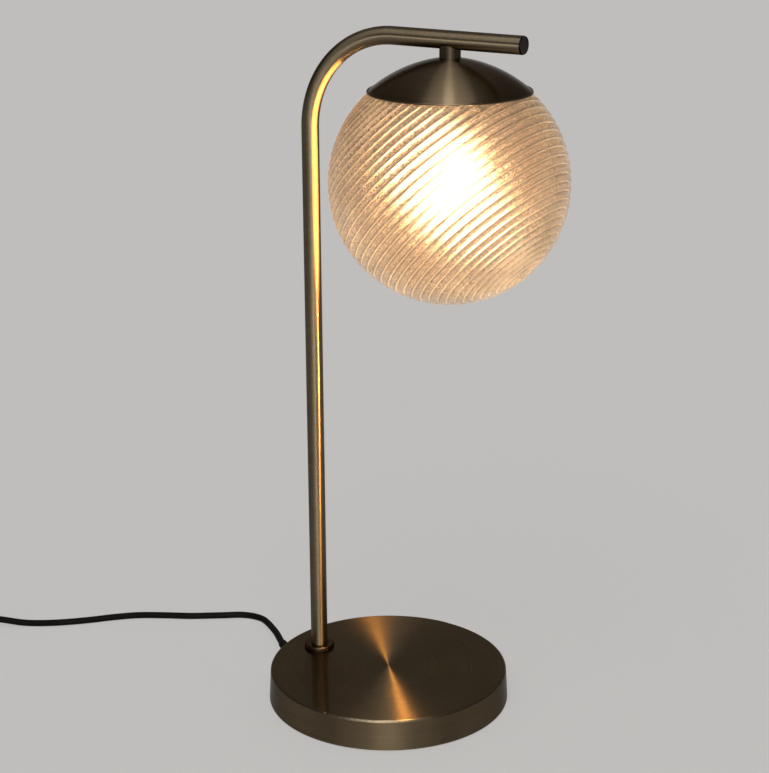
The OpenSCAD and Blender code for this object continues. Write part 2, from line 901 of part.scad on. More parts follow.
// Half of the ribbed ball's section: a row of equal crowned ribs from pole to pole.
module ribbed_section() {
    polygon([
        for (i = [0:rib_count * rib_flats])
            let (
                lean = rib_pitch * ((i + rib_flats / 2) % rib_flats / rib_flats - 0.5),
                r = rib_ring_r * cos(lean) + sqrt(rib_r ^ 2 - (rib_ring_r * sin(lean)) ^ 2),
                a = rib_pitch * i / rib_flats - 90
            )
            [i % (rib_count * rib_flats) == 0 ? 0 : r * cos(a), r * sin(a)]
    ]);
}

module glass_globe() {
    top = shoulder_z - globe_z;
    color(glass_tint)
        translate([hang_x, 0, globe_z])
            difference() {
                union() {
                    intersection() {
                        rotate([0, -rib_tilt, 0])
                            rotate_extrude()
                                ribbed_section();
                        translate([-globe_r - 1, -globe_r - 1, -globe_r - 1])
                            cube([globe_d + 2, globe_d + 2, globe_r + 1 + top]);
                    }
                    translate([0, 0, top - glass_wall])
                        cylinder(r = mouth_r, h = glass_wall + mouth_h);
                }
                rotate_extrude($fn = 96)
                    intersection() {
                        circle(r = glass_in_r, $fn = 96);
                        translate([0, -globe_r])
                            square([globe_r, globe_r + top - glass_wall]);
                    }
                translate([0, 0, top - glass_wall - 1])
                    cylinder(r = mouth_in_r, h = glass_wall + mouth_h + 2);
            }
}

// Bulb

module bulb_dome() {
    color([1, 0.93, 0.75])
        at_hanger()
            difference() {
                translate([0, 0, bulb_z])
                    sphere(r = bulb_r);
                translate([0, 0, bulb_z])
                    sphere(r = bulb_r - bulb_wall);
                translate([0, 0, dome_cut_z])
                    cylinder(r = bulb_r, h = bulb_r);
            }
}

module led_board() {
    color(steel)
        at_hanger()
            translate([0, 0, dome_cut_z - 1.2])
                cylinder(r = dome_cut_r - bulb_wall - 1.2, h = 1.2);
}

module bulb_body() {
    cap_r = bulb_cap_d / 2;
    color(cream)
        at_hanger()
            rotate_extrude()
                polygon([
                    [0, dome_cut_z], [dome_cut_r, dome_cut_z], [bulb_neck_r, bulb_neck_z - 3],
                    [bulb_neck_r - 1.5, bulb_neck_z], [cap_r - 0.5, bulb_neck_z],
                    [cap_r - 0.5, bulb_neck_z + 8], [0, bulb_neck_z + 8]
                ]);
}

module bulb_cap() {
    r = bulb_cap_d / 2;
    color(steel)
        at_hanger()
            ring(r, r - 0.4, bulb_neck_z + 0.3, bulb_tip_z - 3.5 - bulb_neck_z);
}

module bulb_insulator() {
    r = bulb_cap_d / 2 - 0.5;
    color(black)
        at_hanger()
            translate([0, 0, bulb_tip_z - 4.4])
                cylinder(r1 = r, r2 = 3, h = 3.6);
}

module bulb_contact() {
    color(brass)
        at_hanger()
            translate([0, 0, bulb_tip_z - 0.8])
                cylinder(r1 = 2.6, r2 = 2, h = 0.8);
}

// Cord pieces in and at the base

module cord_gland() {
    barrel_r = gland_hole_r - fit;
    back = -cover_t - 1.4;
    relief_x = norm([lead_path[relief_first][0], lead_path[relief_first][1]]) - exit_wall_r - 3 * fit;
    color(black)
        at_exit(exit_wall_r)
            difference() {
                union() {
                    translate([back, 0, 0])
                        along_x(barrel_r + 0.8, barrel_r + 0.8, 1);
                    translate([back, 0, 0])
                        along_x(barrel_r, barrel_r, gland_gap - back + 0.1);
                    translate([gland_gap, 0, 0])
                        along_x(barrel_r + 1, barrel_r + 0.6, relief_x - gland_gap);
                }
                translate([-wall_cut, 0, 0])
                    along_x(sleeve_bore_r, sleeve_bore_r, 3 * wall_cut);
            }
}

// The flexible sleeve that bends with the cord.
module cord_relief() {
    color(black)
        swept_sleeve(
            [for (i = [0:relief_rings]) lead_path[relief_first + i]],
            relief_r0, relief_r1, sleeve_bore_r, 12
        );
}

// The clamp's two screws stand either side of the cord.
module clamp_screw_places() {
    for (side = [-1, 1])
        translate([0, side * clamp_screw_y, 0])
            children();
}

module cord_clamp() {
    color(cream)
        at_exit(clamp_r)
            difference() {
                translate([-clamp_len / 2, -clamp_w / 2, -clamp_low])
                    cube([clamp_len, clamp_w, weight_z - exit_z + clamp_low]);
                translate([-clamp_len, 0, 0])
                    along_x(cord_r + 0.1, cord_r + 0.1, 2 * clamp_len);
                clamp_screw_places()
                    translate([0, 0, -2 * clamp_low])
                        cylinder(r = clamp_screw_r + fit, h = weight_z + 2 * clamp_low);
            }
}

module clamp_screws() {
    color(steel)
        at_exit(clamp_r)
            clamp_screw_places()
                union() {
                    translate([0, 0, -clamp_low - 0.6])
                        cylinder(r = 2.6, h = 0.6);
                    translate([0, 0, -clamp_low - 0.4])
                        cylinder(r = clamp_screw_r, h = weight_z - exit_z + clamp_low + 4.4);
                }
}

module cord_lead() {
    color(black)
        swept_tube(lead_path, cord_r, cord_sides);
}

// Switch on the cord

module at_switch() {
    translate([switch_mid[0], switch_mid[1], 0])
        rotate(switch_ang)
            children();
}

module switch_outline(inset) {
    corner = 8 - inset;
    x = switch_len / 2 - 8;
    y = switch_w / 2 - 8;
    for (sx = [-1, 1], sy = [-1, 1])
        translate([sx * x, sy * y])
            circle(r = corner);
    square([switch_len - 2 * inset, 2 * y], center = true);
    square([2 * x, switch_w - 2 * inset], center = true);
}

// The switch's crowned body, drawn in by a wall.
module switch_body(inset) {
    crown_r = 34;
    intersection() {
        translate([0, 0, inset])
            linear_extrude(switch_h)
                switch_outline(inset);
        translate([-switch_len, 0, switch_h - crown_r])
            along_x(crown_r - inset, crown_r - inset, 2 * switch_len);
    }
}

module cord_bore(length) {
    translate([-length / 2, 0, switch_split_z])
        along_x(cord_r + fit, cord_r + fit, length);
}

rocker_z = switch_h - 4;
rocker_pin_r = 1.2;
switch_screw_in = 15;
switch_screw_x = switch_len / 2 - switch_screw_in;
switch_screw_y = 6.4;

module switch_screw_places() {
    for (side = [-1, 1])
        translate([side * switch_screw_x, side * switch_screw_y, 0])
            children();
}

module switch_base() {
    color(black)
        at_switch()
            difference() {
                union() {
                    difference() {
                        switch_body(0);
                        switch_body(switch_wall);
                    }
                    intersection() {
                        switch_body(0.2);
                        switch_screw_places()
                            cylinder(r = 2.8, h = switch_split_z);
                    }
                }
                translate([-switch_len, -switch_w, switch_split_z])
                    cube([2 * switch_len, 2 * switch_w, switch_h]);
                cord_bore(switch_len + 2);
                switch_screw_places() {
                    translate([0, 0, -1])
                        cylinder(r = 1.5, h = switch_split_z + 2);
                    translate([0, 0, -1])
                        cylinder(r = 2.6, h = 2.6);
                }
            }
}

module switch_top() {
    color(black)
        at_switch()
            difference() {
                union() {
                    difference() {
                        switch_body(0);
                        switch_body(switch_wall);
                    }
                    intersection() {
                        switch_body(0.2);
                        union() {
                            switch_screw_places()
                                cylinder(r = 2.8, h = switch_h);
                            for (side = [-1, 1])
                                translate([-3, side * (rocker_w / 2 + 1.9) - 1.5, rocker_z - 3])
                                    cube([6, 3, 8]);
                        }
                    }
                }
                translate([-switch_len, -switch_w, -1])
                    cube([2 * switch_len, 2 * switch_w, switch_split_z + 1]);
                cord_bore(switch_len + 2);
                translate([-rocker_len / 2 - 0.8, -rocker_w / 2 - 0.4, switch_split_z])
                    cube([rocker_len + 1.6, rocker_w + 0.8, switch_h]);
                translate([0, rocker_w, rocker_z])
                    rotate([90, 0, 0])
                        cylinder(r = rocker_pin_r + 0.05, h = 2 * rocker_w);
                switch_screw_places()
                    cylinder(r = 1.2, h = switch_h - 3);
            }
}

// The rocker leans to its on side at rest.
module switch_rocker() {
    half = rocker_len / 2;
    color([0.12, 0.12, 0.12])
        at_switch()
            translate([0, 0, rocker_z])
                rotate([90, rocker_lean, 0]) {
                    linear_extrude(rocker_w, center = true)
                        polygon([
                            [-half, -1.5], [-2.4, -2.6], [2.4, -2.6], [half, -1.5], [half, 4.2],
                            [half - 2, 4.4], [0, 3.6], [2 - half, 4.4], [-half, 4.2]
                        ]);
                    cylinder(r = rocker_pin_r, h = rocker_w + 3.2, center = true);
                }
}

module switch_contacts() {
    color(brass)
        at_switch()
            for (side = [-1, 1])
                translate([side * (rocker_len / 2 + 3), -side * 3.2, switch_wall]) {
                    translate([-2.5, -2, 0])
                        cube([5, 4, 3.6]);
                    translate([-side * 6 - 3.5, -0.5, 0])
                        cube([7, 1, 3]);
                }
}

module switch_screws() {
    color(steel)
        at_switch()
            switch_screw_places()
                union() {
                    translate([0, 0, 0.3])
                        cylinder(r = 2.4, h = 1.2);
                    translate([0, 0, 1])
                        cylinder(r = 1.15, h = 9);
                }
}

// The stored length of the cord

module cord_run() {
    color(black)
        swept_tube(smooth(run_route, 2), cord_r, cord_sides);
}

module cord_coil() {
    echo(str("Least gap of the coil to itself: ", coil_least_gap, " mm"));
    color(black)
        swept_tube(coil_path, cord_r, coil_sides);
}

module cord_tail() {
    color(black)
        swept_tube(smooth(tail_route, 2), cord_r, cord_sides);
}

module cord_tie() {
    first_turn = (tie_ang - coil_ang0) / 360;
    radii = [
        for (t = [first_turn - floor(first_turn):1:coil_turns])
            coil_in_r + coil_pitch * abs(t - coil_turns / 2)
    ];
    in_x = min(radii) - cord_r - run;
    out_x = max(radii) + cord_r + run;
    h = 2 * tie_t + 2 * cord_r + coil_pitch + run;
    color([0.1, 0.1, 0.1])
        translate([coil_mid[0], coil_mid[1], 0])
            rotate(tie_ang)
                translate([0, tie_w / 2, 0])
                    rotate([90, 0, 0])
                        linear_extrude(tie_w)
                            difference() {
                                translate([in_x - tie_t, 0])
                                    square([out_x - in_x + 2 * tie_t, h]);
                                translate([in_x, tie_t - 0.05])
                                    square([out_x - in_x, h - 2 * tie_t + 0.05]);
                            }
}

// Plug

module at_plug() {
    translate([plug_in[0], plug_in[1], plug_z])
        rotate(plug_ang)
            children();
}

module plug_body() {
    half = plug_w / 2;
    color(black)
        at_plug()
            difference() {
                union() {
                    intersection() {
                        translate([0, 0, -plug_t / 2])
                            linear_extrude(plug_t)
                                polygon([
                                    [sleeve_len - 8, -6], [sleeve_len, -8], [sleeve_len + 8, -half],
                                    [sleeve_len + plug_len, -half], [sleeve_len + plug_len, half],
                                    [sleeve_len + 8, half], [sleeve_len, 8], [sleeve_len - 8, 6]
                                ]);
                        translate([0, half + 1, 0])
                            rotate([90, 0, 0])
                                linear_extrude(plug_w + 2)
                                    polygon([
                                        [0, -4], [sleeve_len, -plug_t / 2], [sleeve_len + plug_len, -plug_t / 2],
                                        [sleeve_len + plug_len, plug_t / 2], [sleeve_len, plug_t / 2], [0, 4]
                                    ]);
                    }
                    along_x(cord_r + 0.8, 5, sleeve_len);
                }
                translate([-1, 0, 0])
                    along_x(cord_r + 0.1, cord_r + 0.1, plug_bore + 1);
                for (side = [-1, 1])
                    translate([sleeve_len + plug_len - 10, side * pin_pitch / 2, 0])
                        along_x(pin_d / 2 + 0.05, pin_d / 2 + 0.05, 11);
            }
}

module plug_pins() {
    color(steel)
        at_plug()
            for (side = [-1, 1])
                translate([sleeve_len + plug_len - 9.5, side * pin_pitch / 2, 0])
                    rotate([0, 90, 0]) {
                        cylinder(d = pin_d, h = 9.5 + pin_len - 1);
                        translate([0, 0, 8.5 + pin_len - eps])
                            cylinder(r1 = pin_d / 2, r2 = pin_d / 2 - 0.9, h = 1);
                    }
}

base_cover();
base_weight();
base_plate();
foot_pad();
plate_screws();
stem_collar();
stem_tube();
stem_nipple();
stem_washer();
stem_nut();
arm_end_cap();
hanger_neck();
cap_washer();
dome_cap();
glass_gallery();
hanger_nut();
spring_clips();
clip_rivets();
holder_cap();
holder_skirt();
holder_insert();
thread_shell();
centre_contact();
inner_wires();
globe_seal();
glass_globe();
bulb_dome();
led_board();
bulb_body();
bulb_cap();
bulb_insulator();
bulb_contact();
cord_gland();
cord_relief();
cord_clamp();
clamp_screws();
cord_lead();
switch_base();
switch_top();
switch_rocker();
switch_contacts();
switch_screws();
cord_run();
cord_coil();
cord_tail();
cord_tie();
plug_body();
plug_pins();
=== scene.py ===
"""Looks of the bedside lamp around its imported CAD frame: finishes, ribbed glass, cords, light and camera.

Lengths are in metres in the frame's own axes: X runs along the arm, Z is up, and the origin is the middle
of the base on the table.
"""

import logging
import math
from collections.abc import Iterable, Sequence
from dataclasses import dataclass, replace
from enum import Enum
from functools import cache
from typing import Protocol

import bmesh
import bpy
from bmesh.types import BMesh, BMVert
from bpy.types import Material, Node, NodeSocket, NodeTree, Object
from mathutils import Matrix, Vector


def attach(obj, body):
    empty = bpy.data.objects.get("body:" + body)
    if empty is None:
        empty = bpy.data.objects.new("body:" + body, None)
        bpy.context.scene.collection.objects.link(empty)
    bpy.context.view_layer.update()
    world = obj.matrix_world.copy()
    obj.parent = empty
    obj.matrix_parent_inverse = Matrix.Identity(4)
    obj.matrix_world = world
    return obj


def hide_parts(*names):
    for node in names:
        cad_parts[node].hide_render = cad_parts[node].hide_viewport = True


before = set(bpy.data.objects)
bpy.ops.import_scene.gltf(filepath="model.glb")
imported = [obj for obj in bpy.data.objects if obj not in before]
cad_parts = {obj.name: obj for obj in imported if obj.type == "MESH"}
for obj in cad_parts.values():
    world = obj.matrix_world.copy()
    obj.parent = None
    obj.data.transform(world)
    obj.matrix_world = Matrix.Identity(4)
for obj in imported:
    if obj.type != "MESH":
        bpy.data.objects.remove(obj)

Colour = tuple[float, float, float]
Point = tuple[float, float, float]
Band = tuple[float, float]
Value = float | Colour | Point | NodeSocket

log = logging.getLogger("bedside_lamp")

STEM_X = -0.060
HANG_X = 0.049
ARM_Z = 0.4735
GLOBE_CENTRE = (HANG_X, 0.0, 0.381)
RIB_COUNT = 44
RIB_TILT = math.radians(45)
RIB_AXIS = (-math.sin(RIB_TILT), 0.0, math.cos(RIB_TILT))
TUBE_MAP = "tube"
QUARTER_TURN = 0.25
NO_LENGTH = 1e-7
SAME_PLACE = 1e-6
SAME_HEIGHT = 1e-5
NO_ANGLE = 1e-9
MOSTLY_ALONG = 0.9
CORD_FACETS = 6


class Brush(Enum):
    """How the scratches of a metal finish run."""

    TURNED = "round an upright axis"
    HOOPED = "round a tube"


class Body(Enum):
    """The bodies that the new pieces ride on. The CAD nodes ride on theirs already."""

    LAMP = "lamp"
    GLOBE = "globe"


class LightKind(Enum):
    """The kinds of lamp in the studio."""

    AREA = "AREA"
    SUN = "SUN"


class Board:
    """A material's or world's node tree, with short calls for the nodes that the finishes use."""

    def __init__(self, tree: NodeTree, output: str) -> None:
        """Clears the tree and gives it a new output.

        Args:
            tree: The node tree to build in.
            output: The type name of its output node.
        """
        self.tree = tree
        tree.nodes.clear()
        self.output = tree.nodes.new(output)

    def node(self, kind: str, *values: Value, **settings: object) -> Node:
        """Adds a node.

        Args:
            kind: The node's type name.
            *values: What its inputs get, from the first one on.
            **settings: Properties of the node.

        Returns:
            The new node.
        """
        made = self.tree.nodes.new(kind)
        for key, value in settings.items():
            setattr(made, key, value)
        for socket, value in zip(made.inputs, values):
            self.feed(socket, value)
        return made

    def named(self, kind: str, **inputs: Value) -> Node:
        """Adds a node and feeds the inputs that are named.

        Args:
            kind: The node's type name.
            **inputs: What its inputs get, by their names with underscores for spaces.

        Returns:
            The new node.
        """
        made = self.node(kind)
        for name, value in inputs.items():
            self.feed(made.inputs[name.replace("_", " ")], value)
        return made

    def feed(self, socket: NodeSocket, value: Value) -> None:
        """Links a socket, or sets its own value.

        Args:
            socket: The input to feed.
            value: Another node's output, a number, a colour or a vector.
        """
        if isinstance(value, NodeSocket):
            self.tree.links.new(value, socket)
        elif socket.type == "RGBA":
            socket.default_value = (*value, 1.0)
        else:
            socket.default_value = value

    def math(self, operation: str, a: Value, b: Value = 0.0) -> NodeSocket:
        """Gives the result of an operation, by Blender's name, on two values."""
        return self.node("ShaderNodeMath", a, b, operation=operation).outputs[0]

    def vector(self, x: Value, y: Value, z: Value) -> NodeSocket:
        """Joins three numbers into a vector."""
        return self.node("ShaderNodeCombineXYZ", x, y, z).outputs[0]

    def place(self) -> NodeSocket:
        """Gives the place on the piece, in its own coordinates."""
        return self.node("ShaderNodeTexCoord").outputs["Object"]

    def split(self, vector: Value) -> list[NodeSocket]:
        """Gives a vector's three numbers."""
        return list(self.node("ShaderNodeSeparateXYZ", vector).outputs)

    def noise(self, vector: Value, scale: float, detail: float = 2.0, roughness: float = 0.5) -> NodeSocket:
        """Gives a noise about 0.5, read at a vector, with detail octaves that roughness makes stronger."""
        inputs = {"Vector": vector, "Scale": scale, "Detail": detail, "Roughness": roughness}
        return self.named("ShaderNodeTexNoise", **inputs).outputs[0]

    def spread(
        self, value: Value, low: float, high: float, start: float = 0.0, end: float = 1.0
    ) -> NodeSocket:
        """Maps a number's stretch from low to high onto that from start to end, and stops it there."""
        return self.node("ShaderNodeMapRange", value, low, high, start, end).outputs[0]

    def blend(self, share: Value, a: Value, b: Value) -> NodeSocket:
        """Mixes two colours.

        Args:
            share: How much of the second one.
            a: The first colour.
            b: The second colour.

        Returns:
            The mixed colour.
        """
        made = self.node("ShaderNodeMix", share, data_type="RGBA")
        self.feed(made.inputs[6], a)
        self.feed(made.inputs[7], b)
        return made.outputs[2]

    def bump(self, height: Value, distance: float, strength: float = 1.0) -> NodeSocket:
        """Gives the normal bent by a height, of which 1 stands for distance in metres."""
        inputs = {"Height": height, "Distance": distance, "Strength": strength}
        return self.named("ShaderNodeBump", **inputs).outputs[0]

    def surface(self, **inputs: Value) -> None:
        """Adds a Principled shader with these inputs and links it to the output."""
        self.show(self.named("ShaderNodeBsdfPrincipled", **inputs))

    def show(self, shader: Node) -> None:
        """Links a shader to the output."""
        self.tree.links.new(shader.outputs[0], self.output.inputs["Surface"])


def new_board(name: str) -> tuple[Material, Board]:
    """Makes a material with an empty board.

    Args:
        name: The material's name.

    Returns:
        The material and its board.
    """
    material = bpy.data.materials.new(name)
    material.use_nodes = True
    return material, Board(material.node_tree, "ShaderNodeOutputMaterial")


class Finish(Protocol):
    """Anything that can make a material."""

    name: str

    def material(self) -> Material:
        """Makes the material."""


@dataclass(frozen=True)
class BrushedMetal:
    """Metal with fine scratches that all run one way, and a thin uneven patina.

    The scratches are pitch apart, and the patina's clouds are patina across. Axis is where the upright axis
    of a turned piece stands. Edge is how much of a grazing reflection stays. The lighter colour given for a
    rounded edge is partly wear and partly a painted highlight: it shows where the surface faces partly up,
    between the two bands, which on a rounded top edge is where light from above falls.
    """

    name: str
    colour: Colour
    deep: Colour
    roughness: float = 0.31
    brush: Brush = Brush.TURNED
    axis: tuple[float, float] = (0.0, 0.0)
    anisotropy: float = 1.0
    pitch: float = 0.0007
    patina: float = 0.05
    edge: float = 0.35
    lacquer: float = 0.2
    lacquer_roughness: float = 0.08
    turned_stretch: float = 14.0
    hooped_stretch: float = 0.3
    streak_share: float = 0.45
    streak_band: Band = (0.3, 0.7)
    cloud_share: float = 0.3
    cloud_band: Band = (0.35, 0.7)
    shine_band: Band = (0.25, 0.75)
    wear_and_highlight_from: Band = (0.12, 0.4)
    wear_and_highlight_to: Band = (0.9, 0.99)
    smoother: float = 0.05
    rougher: float = 0.06
    wear_and_highlight: Colour | None = None

    def lines(self, board: Board) -> NodeSocket:
        """Gives the place stretched along the scratches, so that a noise read there shows them.

        Args:
            board: The board to build on.

        Returns:
            The stretched place.
        """
        if self.brush is Brush.HOOPED:
            u, v, _ = board.split(board.node("ShaderNodeUVMap", uv_map=TUBE_MAP).outputs[0])
            turn = board.math("MULTIPLY", u, math.tau)
            place = board.vector(board.math("COSINE", turn), board.math("SINE", turn), v)
            along = self.hooped_stretch
        else:
            x, y, z = board.split(board.place())
            x, y = board.math("SUBTRACT", x, self.axis[0]), board.math("SUBTRACT", y, self.axis[1])
            squares = board.math("ADD", board.math("MULTIPLY", x, x), board.math("MULTIPLY", y, y))
            place = board.vector(x, y, board.math("SUBTRACT", board.math("SQRT", squares), z))
            along = self.turned_stretch
        scale = (along, along, 1.0 / self.pitch)
        return board.node("ShaderNodeVectorMath", place, scale, operation="MULTIPLY").outputs[0]

    def tangent(self, board: Board) -> NodeSocket:
        """Gives the direction of the scratches.

        Args:
            board: The board to build on.

        Returns:
            The direction.
        """
        if self.brush is Brush.HOOPED:
            return board.node("ShaderNodeTangent", direction_type="UV_MAP", uv_map=TUBE_MAP).outputs[0]
        return board.node("ShaderNodeTangent", direction_type="RADIAL", axis="Z").outputs[0]

    def material(self) -> Material:
        """Makes the material.

        Returns:
            The material.
        """
        material, board = new_board(self.name)
        lines = self.lines(board)
        streaks = board.noise(lines, 1.0, detail=3.0, roughness=0.65)
        clouds = board.noise(board.place(), 1.0 / self.patina, detail=4.0, roughness=0.6)
        streaked = board.spread(streaks, *self.streak_band, 0.0, self.streak_share)
        clouded = board.spread(clouds, *self.cloud_band, 0.0, self.cloud_share)
        tone = board.blend(board.math("ADD", streaked, clouded), self.colour, self.deep)
        # Painted highlight, partly wear too: a lighter colour where the surface faces partly up, as on a
        # rounded top edge.
        if self.wear_and_highlight:
            facing = board.split(board.node("ShaderNodeNewGeometry").outputs["Normal"])[2]
            off_side = board.spread(facing, *self.wear_and_highlight_from)
            off_top = board.spread(facing, *self.wear_and_highlight_to, 1.0, 0.0)
            tone = board.blend(board.math("MULTIPLY", off_side, off_top), tone, self.wear_and_highlight)
        smooth, rough = self.roughness - self.smoother, self.roughness + self.rougher
        board.surface(
            Base_Color=tone,
            Metallic=1.0,
            Roughness=board.spread(streaks, *self.shine_band, smooth, rough),
            Anisotropic=self.anisotropy,
            Anisotropic_Rotation=QUARTER_TURN,
            Specular_Tint=(self.edge,) * 3,
            Coat_Weight=self.lacquer,
            Coat_Roughness=self.lacquer_roughness,
            Tangent=self.tangent(board),
        )
        return material


@dataclass(frozen=True)
class Moulded:
    """Moulded plastic, rubber or ceramic with a fine skin texture and light handling marks.

    The grain's size and depth are lengths, and marks is how many handling marks fit in a metre. The bands
    are the stretches of a noise that the colour and the shine use.
    """

    name: str
    colour: Colour
    deep: Colour
    roughness: float = 0.4
    grain: float = 0.0006
    grain_detail: float = 3.0
    depth: float = 0.00003
    depth_share: float = 0.8
    coat: float = 0.0
    coat_roughness: float = 0.12
    gloss: float = 0.5
    marks: float = 60.0
    colour_band: Band = (0.35, 0.7)
    shine_band: Band = (0.3, 0.7)
    smoother: float = 0.05
    rougher: float = 0.07
    metallic: float = 0.0

    def material(self) -> Material:
        """Makes the material.

        Returns:
            The material.
        """
        material, board = new_board(self.name)
        place = board.place()
        grain = board.noise(place, 1.0 / self.grain, detail=self.grain_detail, roughness=0.6)
        clouds = board.noise(place, self.marks, detail=4.0, roughness=0.6)
        smooth, rough = self.roughness - self.smoother, self.roughness + self.rougher
        board.surface(
            Base_Color=board.blend(board.spread(clouds, *self.colour_band), self.colour, self.deep),
            Metallic=self.metallic,
            Roughness=board.spread(clouds, *self.shine_band, smooth, rough),
            Specular_IOR_Level=self.gloss,
            Coat_Weight=self.coat,
            Coat_Roughness=self.coat_roughness,
            Normal=board.bump(grain, self.depth, self.depth_share),
        )
        return material


@dataclass(frozen=True)
class PlainMetal(Moulded):
    """Plated, cast or pressed metal with a fine grain and light handling marks."""

    roughness: float = 0.3
    grain: float = 0.0012
    grain_detail: float = 4.0
    depth: float = 0.00002
    depth_share: float = 0.7
    marks: float = 90.0
    rougher: float = 0.08
    metallic: float = 1.0


@dataclass(frozen=True)
class PressedGlass:
    """Thick pressed glass with a warm tint and seeds in it, with a painted glow and painted shade on its
    ribs.

    The glow is emission, painted in the grooves and grain, that stands for the bulb's light in them, and the
    side colour is a darker colour painted as shade on each rib's side just before its groove. The
    frequencies, in turns to a metre, are those of the wavy skin, the seeds, the grain and the clouds in the
    painted glow, of which more shows low on the ball. The bands are the stretches of a noise, or of the way
    from a rib's crown to its groove, where each of them sets in. Clear is how much light goes through, and
    shine the colour of what a grazing view shows.
    """

    name: str
    centre: Point
    axis: Point
    ribs: int
    skin_frequency: float = 260.0
    seed_frequency: float = 900.0
    grain_frequency: float = 800.0
    cloud_frequency: float = 28.0
    seed_band: Band = (0.60, 0.72)
    grain_band: Band = (0.50, 0.62)
    cloud_band: Band = (0.35, 0.65)
    groove_band: Band = (0.38, 0.48)
    flank_from: Band = (0.18, 0.32)
    flank_to: Band = (0.36, 0.42)
    cloud_glow: Band = (0.6, 1.3)
    groove_glow: float = 2.6
    grain_glow: float = 3.2
    low_glow: Band = (1.15, 0.6)
    low_heights: Band = (-0.07, 0.05)
    bump_depth: float = 0.00015
    bump_share: float = 0.6
    speck_share: float = 0.5
    index: float = 1.5
    shine: Colour = (0.7, 0.6, 0.5)
    tint: Colour = (0.76, 0.645, 0.55)
    flank_shade: Colour = (0.36, 0.27, 0.20)
    glow: Colour = (1.0, 0.70, 0.39)
    glow_strength: float = 0.105
    clear: float = 0.96
    clear_at_seeds: float = 0.912
    roughness: float = 0.14

    def ribbing(self, board: Board) -> NodeSocket:
        """Gives how far a place is from the nearest rib's crown: 0 on it and 0.5 in the groove.

        Args:
            board: The board to build on.

        Returns:
            The distance as a share of the ribs' pitch.
        """
        out = board.node("ShaderNodeVectorMath", board.place(), self.centre, operation="SUBTRACT")
        way = board.node("ShaderNodeVectorMath", out.outputs[0], operation="NORMALIZE")
        along = board.node("ShaderNodeVectorMath", way.outputs[0], self.axis, operation="DOT_PRODUCT")
        turn = board.math("MULTIPLY", board.math("ARCCOSINE", along.outputs["Value"]), self.ribs / math.pi)
        return board.math("PINGPONG", turn, 0.5)

    def material(self) -> Material:
        """Makes the material.

        Returns:
            The material.
        """
        material, board = new_board(self.name)
        place = board.place()
        skin = board.noise(place, self.skin_frequency, detail=3.0, roughness=0.6)
        seeds = board.spread(board.noise(place, self.seed_frequency), *self.seed_band)
        grain = board.noise(place, self.grain_frequency, detail=4.0, roughness=0.85)
        grain = board.spread(grain, *self.grain_band)
        clouds = board.spread(board.noise(place, self.cloud_frequency), *self.cloud_band, *self.cloud_glow)
        rib = self.ribbing(board)
        groove = board.spread(rib, *self.groove_band)
        # Painted shade: a darker colour on each rib's side, just before its groove.
        past_crown = board.spread(rib, *self.flank_from)
        before_groove = board.spread(rib, *self.flank_to, 1.0, 0.0)
        flank_shade = board.math("MULTIPLY", past_crown, before_groove)
        heights = (self.centre[2] + height for height in self.low_heights)
        low = board.spread(board.split(place)[2], *heights, *self.low_glow)
        # Painted glow: emission in the grooves and grain, more of it low on the ball, that stands for the
        # bulb's light in the glass.
        groove_light = board.math("MULTIPLY", groove, self.groove_glow)
        grain_light = board.math("MULTIPLY", grain, self.grain_glow)
        painted_glow = board.math("ADD", groove_light, grain_light)
        painted_glow = board.math("MULTIPLY", painted_glow, board.math("MULTIPLY", clouds, low))
        specks = board.math("MULTIPLY", board.math("ADD", seeds, grain), self.speck_share)
        board.surface(
            Base_Color=board.blend(flank_shade, self.tint, self.flank_shade),
            Roughness=self.roughness,
            IOR=self.index,
            Specular_Tint=self.shine,
            Transmission_Weight=board.spread(seeds, 0.0, 1.0, self.clear, self.clear_at_seeds),
            Emission_Color=self.glow,
            Emission_Strength=board.math("MULTIPLY", painted_glow, self.glow_strength),
            Normal=board.bump(board.math("ADD", skin, specks), self.bump_depth, self.bump_share),
        )
        return material


@dataclass(frozen=True)
class LitOpal:
    """Opal plastic with the light board's light behind it.

    Strength is how bright it looks, straight and in glass or metal, and spill how much light it throws on
    matt surfaces.
    """

    name: str
    shell: Colour = (0.9, 0.87, 0.8)
    colour: Colour = (1.0, 0.70, 0.37)
    strength: float = 300.0
    spill: float = 25.0
    cloud_frequency: float = 40.0
    shine_band: Band = (0.3, 0.7)
    roughness: Band = (0.28, 0.36)

    def material(self) -> Material:
        """Makes the material.

        Returns:
            The material.
        """
        material, board = new_board(self.name)
        clouds = board.noise(board.place(), self.cloud_frequency)
        depth = board.node("ShaderNodeLightPath").outputs["Diffuse Depth"]
        spilt = board.math("GREATER_THAN", depth, 0.5)
        board.surface(
            Base_Color=self.shell,
            Roughness=board.spread(clouds, *self.shine_band, *self.roughness),
            Emission_Color=self.colour,
            Emission_Strength=board.spread(spilt, 0.0, 1.0, self.strength, self.spill),
        )
        return material


@cache
def material_of(finish: Finish) -> Material:
    """Gives a finish's material, which is made once."""
    return finish.material()


def dress(finish: Finish, *nodes: str) -> None:
    """Puts a finish on CAD nodes.

    Args:
        finish: The finish.
        *nodes: The nodes' names.
    """
    for node in nodes:
        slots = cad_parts[node].data.materials
        slots.clear()
        slots.append(material_of(finish))
        log.info("finish %s on %s", finish.name, node)


def hand_over(piece: Object, finish: Finish, body: Body, slot: str, *nodes: str) -> Object:
    """Finishes a piece, lets it ride on its body and stand for its CAD nodes.

    Args:
        piece: The piece.
        finish: Its finish.
        body: The body that it rides on.
        slot: The record's material slot, which is not used.
        *nodes: The CAD nodes that it replaces.

    Returns:
        The piece.
    """
    piece.data.materials.append(material_of(finish))
    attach(piece, body.value)
    if nodes:
        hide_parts(*nodes)
    log.info("piece %s for %s", piece.name, ", ".join(nodes) or "itself")
    return piece


